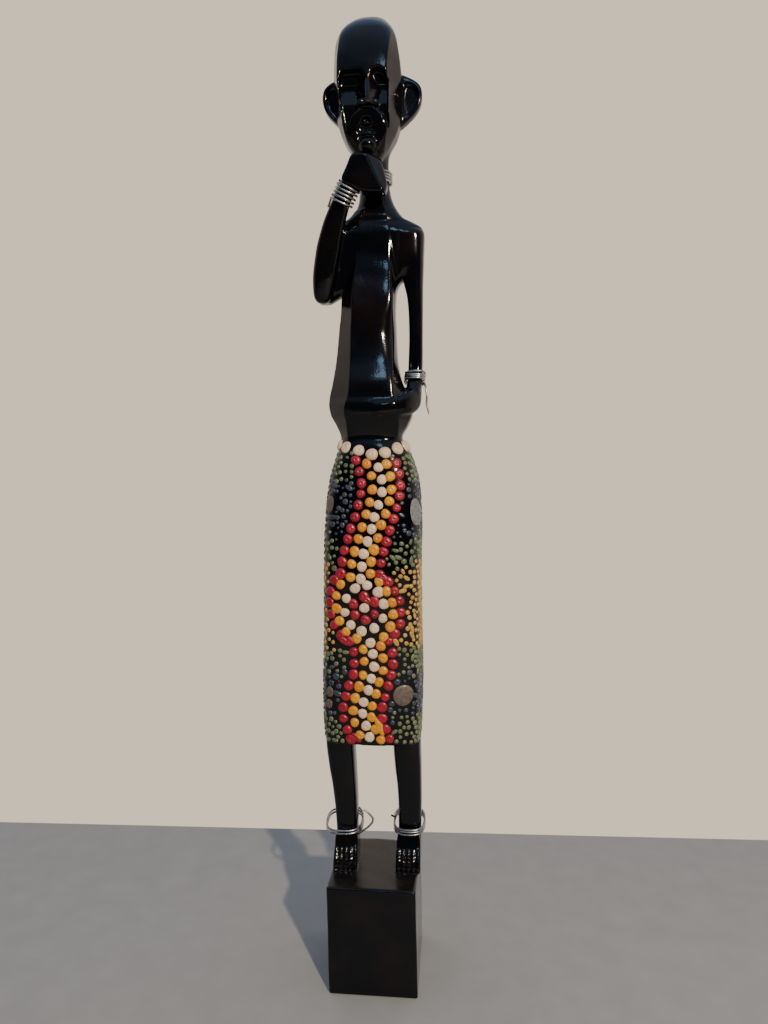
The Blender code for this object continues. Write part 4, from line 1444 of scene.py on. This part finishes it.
def stage():
    """A flat floor. The room's own pale colour stands behind it."""
    points = [
        (-FLOOR_HALF_WIDTH, FLOOR_FRONT, 0.0),
        (FLOOR_HALF_WIDTH, FLOOR_FRONT, 0.0),
        (FLOOR_HALF_WIDTH, FLOOR_BACK[0] + FLOOR_BACK[1] * FLOOR_HALF_WIDTH, 0.0),
        (-FLOOR_HALF_WIDTH, FLOOR_BACK[0] - FLOOR_BACK[1] * FLOOR_HALF_WIDTH, 0.0),
    ]
    floor = mesh_object("floor", np.array(points), np.array([(0, 1, 2, 3)]), stage_paint())


def looking(place, way):
    """The matrix of a light or a camera at a place, upright and looking along a way."""
    right = unit(np.cross(way, (0.0, 0.0, 1.0)))
    up = np.cross(right, way)
    rows = [(right[i], up[i], -way[i], place[i]) for i in range(3)]
    return Matrix(rows + [(0.0, 0.0, 0.0, 1.0)])


def area_light(name, way, distance, size, power, colour):
    """A light that stands a distance off along a way from its aim, and faces the aim."""
    light = bpy.data.lights.new(name, "AREA")
    light.shape = "RECTANGLE"
    light.size, light.size_y = size
    light.energy = power
    light.color = colour
    made = bpy.data.objects.new(name, light)
    way = np.array(way)
    made.matrix_world = looking(np.array(LIGHT_AIM) + way * distance, unit(-way))
    made.visible_camera = False
    bpy.context.scene.collection.objects.link(made)


BACKDROP = (0.98, 0.82, 0.62, 1.0)
ROOM_FRONT = (0.020, 0.025, 0.038, 1.0)  # the dark room that the front planes mirror
ROOM_ABOVE = (0.34, 0.49, 0.72, 1.0)
ROOM_SIDES = (0.68, 0.60, 0.53, 1.0)


def room_light():
    """A room that is dark in front, cool above and pale at the sides and behind, with a plain backdrop."""
    world = bpy.data.worlds.new("soft_room")
    bpy.context.scene.world = world
    world.use_nodes = True
    tree = world.node_tree
    way = add(tree, "ShaderNodeTexCoord").outputs["Generated"]
    rise = along_axis(tree, way, "Z")
    front = mixed(tree, ranged(tree, rise, 0.36, 0.76), ROOM_FRONT, ROOM_ABOVE)
    back = ranged(tree, along_axis(tree, way, "Y"), -0.45, 0.1)
    low = ranged(tree, rise, 0.55, 0.88, 1.0, 0.0)
    room = tree.nodes["Background"]
    put(tree, room, {"Color": mixed(tree, maths(tree, "MULTIPLY", back, low), front, ROOM_SIDES)})
    plain = add(tree, "ShaderNodeBackground", {"Color": BACKDROP})
    seen = add(tree, "ShaderNodeLightPath").outputs["Is Camera Ray"]
    shaders = {"Fac": seen, 1: room.outputs["Background"], 2: plain.outputs["Background"]}
    shown = add(tree, "ShaderNodeMixShader", shaders).outputs["Shader"]
    put(tree, tree.nodes["World Output"], {"Surface": shown})


LIGHT_AIM = (0.0, 0.0, 0.27)
LIGHTS = [  # name, way from the aim, distance, size, power, colour
    ("warm_key", (0.397, -0.821, 0.411), 1.5, (0.04, 0.04), 21.0, (1.0, 0.87, 0.70)),
    ("cool_window", (0.040, -0.837, 0.545), 4.0, (0.62, 0.34), 6.5, (0.42, 0.70, 1.0)),
]


def lights():
    for values in LIGHTS:
        area_light(*values)
    room_light()


def camera():
    turn = math.radians(CAMERA_TURN)
    flat = CAMERA_DISTANCE * np.array((math.sin(turn), -math.cos(turn)))
    aside = math.atan((IMAGE_WIDTH / 2 - AXIS_COLUMN) / FOCAL_PIXELS)
    heading = math.atan2(-flat[1], -flat[0]) - aside
    pitch = math.radians(CAMERA_PITCH)
    level = math.cos(pitch)
    way = np.array((math.cos(heading) * level, math.sin(heading) * level, math.sin(pitch)))
    data = bpy.data.cameras.new("camera")
    data.sensor_width = LONG_SENSOR
    data.lens = FOCAL_PIXELS / IMAGE_HEIGHT * LONG_SENSOR
    data.clip_start = 0.01
    made = bpy.data.objects.new("camera", data)
    made.matrix_world = looking(np.array((*flat, CAMERA_HEIGHT)) * MM, way)
    bpy.context.scene.collection.objects.link(made)
    bpy.context.scene.camera = made


def figure(steps):
    xs, ys, zs = figure_grid()
    points, faces = surface_net(field_on_grid(steps, xs, ys, zs), xs, ys, zs)
    points, _ = drawn_to_surface(steps, points, 2)
    low = np.array(CAD_BOX[0]) / MM
    high = np.array(CAD_BOX[1]) / MM
    points = np.clip(points, low, high)
    made = mesh_object("painted_figure", points, faces, black_paint())
    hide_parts("carved_figure")
    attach(made, "root")


def main():
    camera()
    stage()
    lights()
    steps = figure_steps()
    figure(steps)
    for piece in paint_dots(steps, paint_set()):
        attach(piece, "root")
    wires(bare_metal())


main()
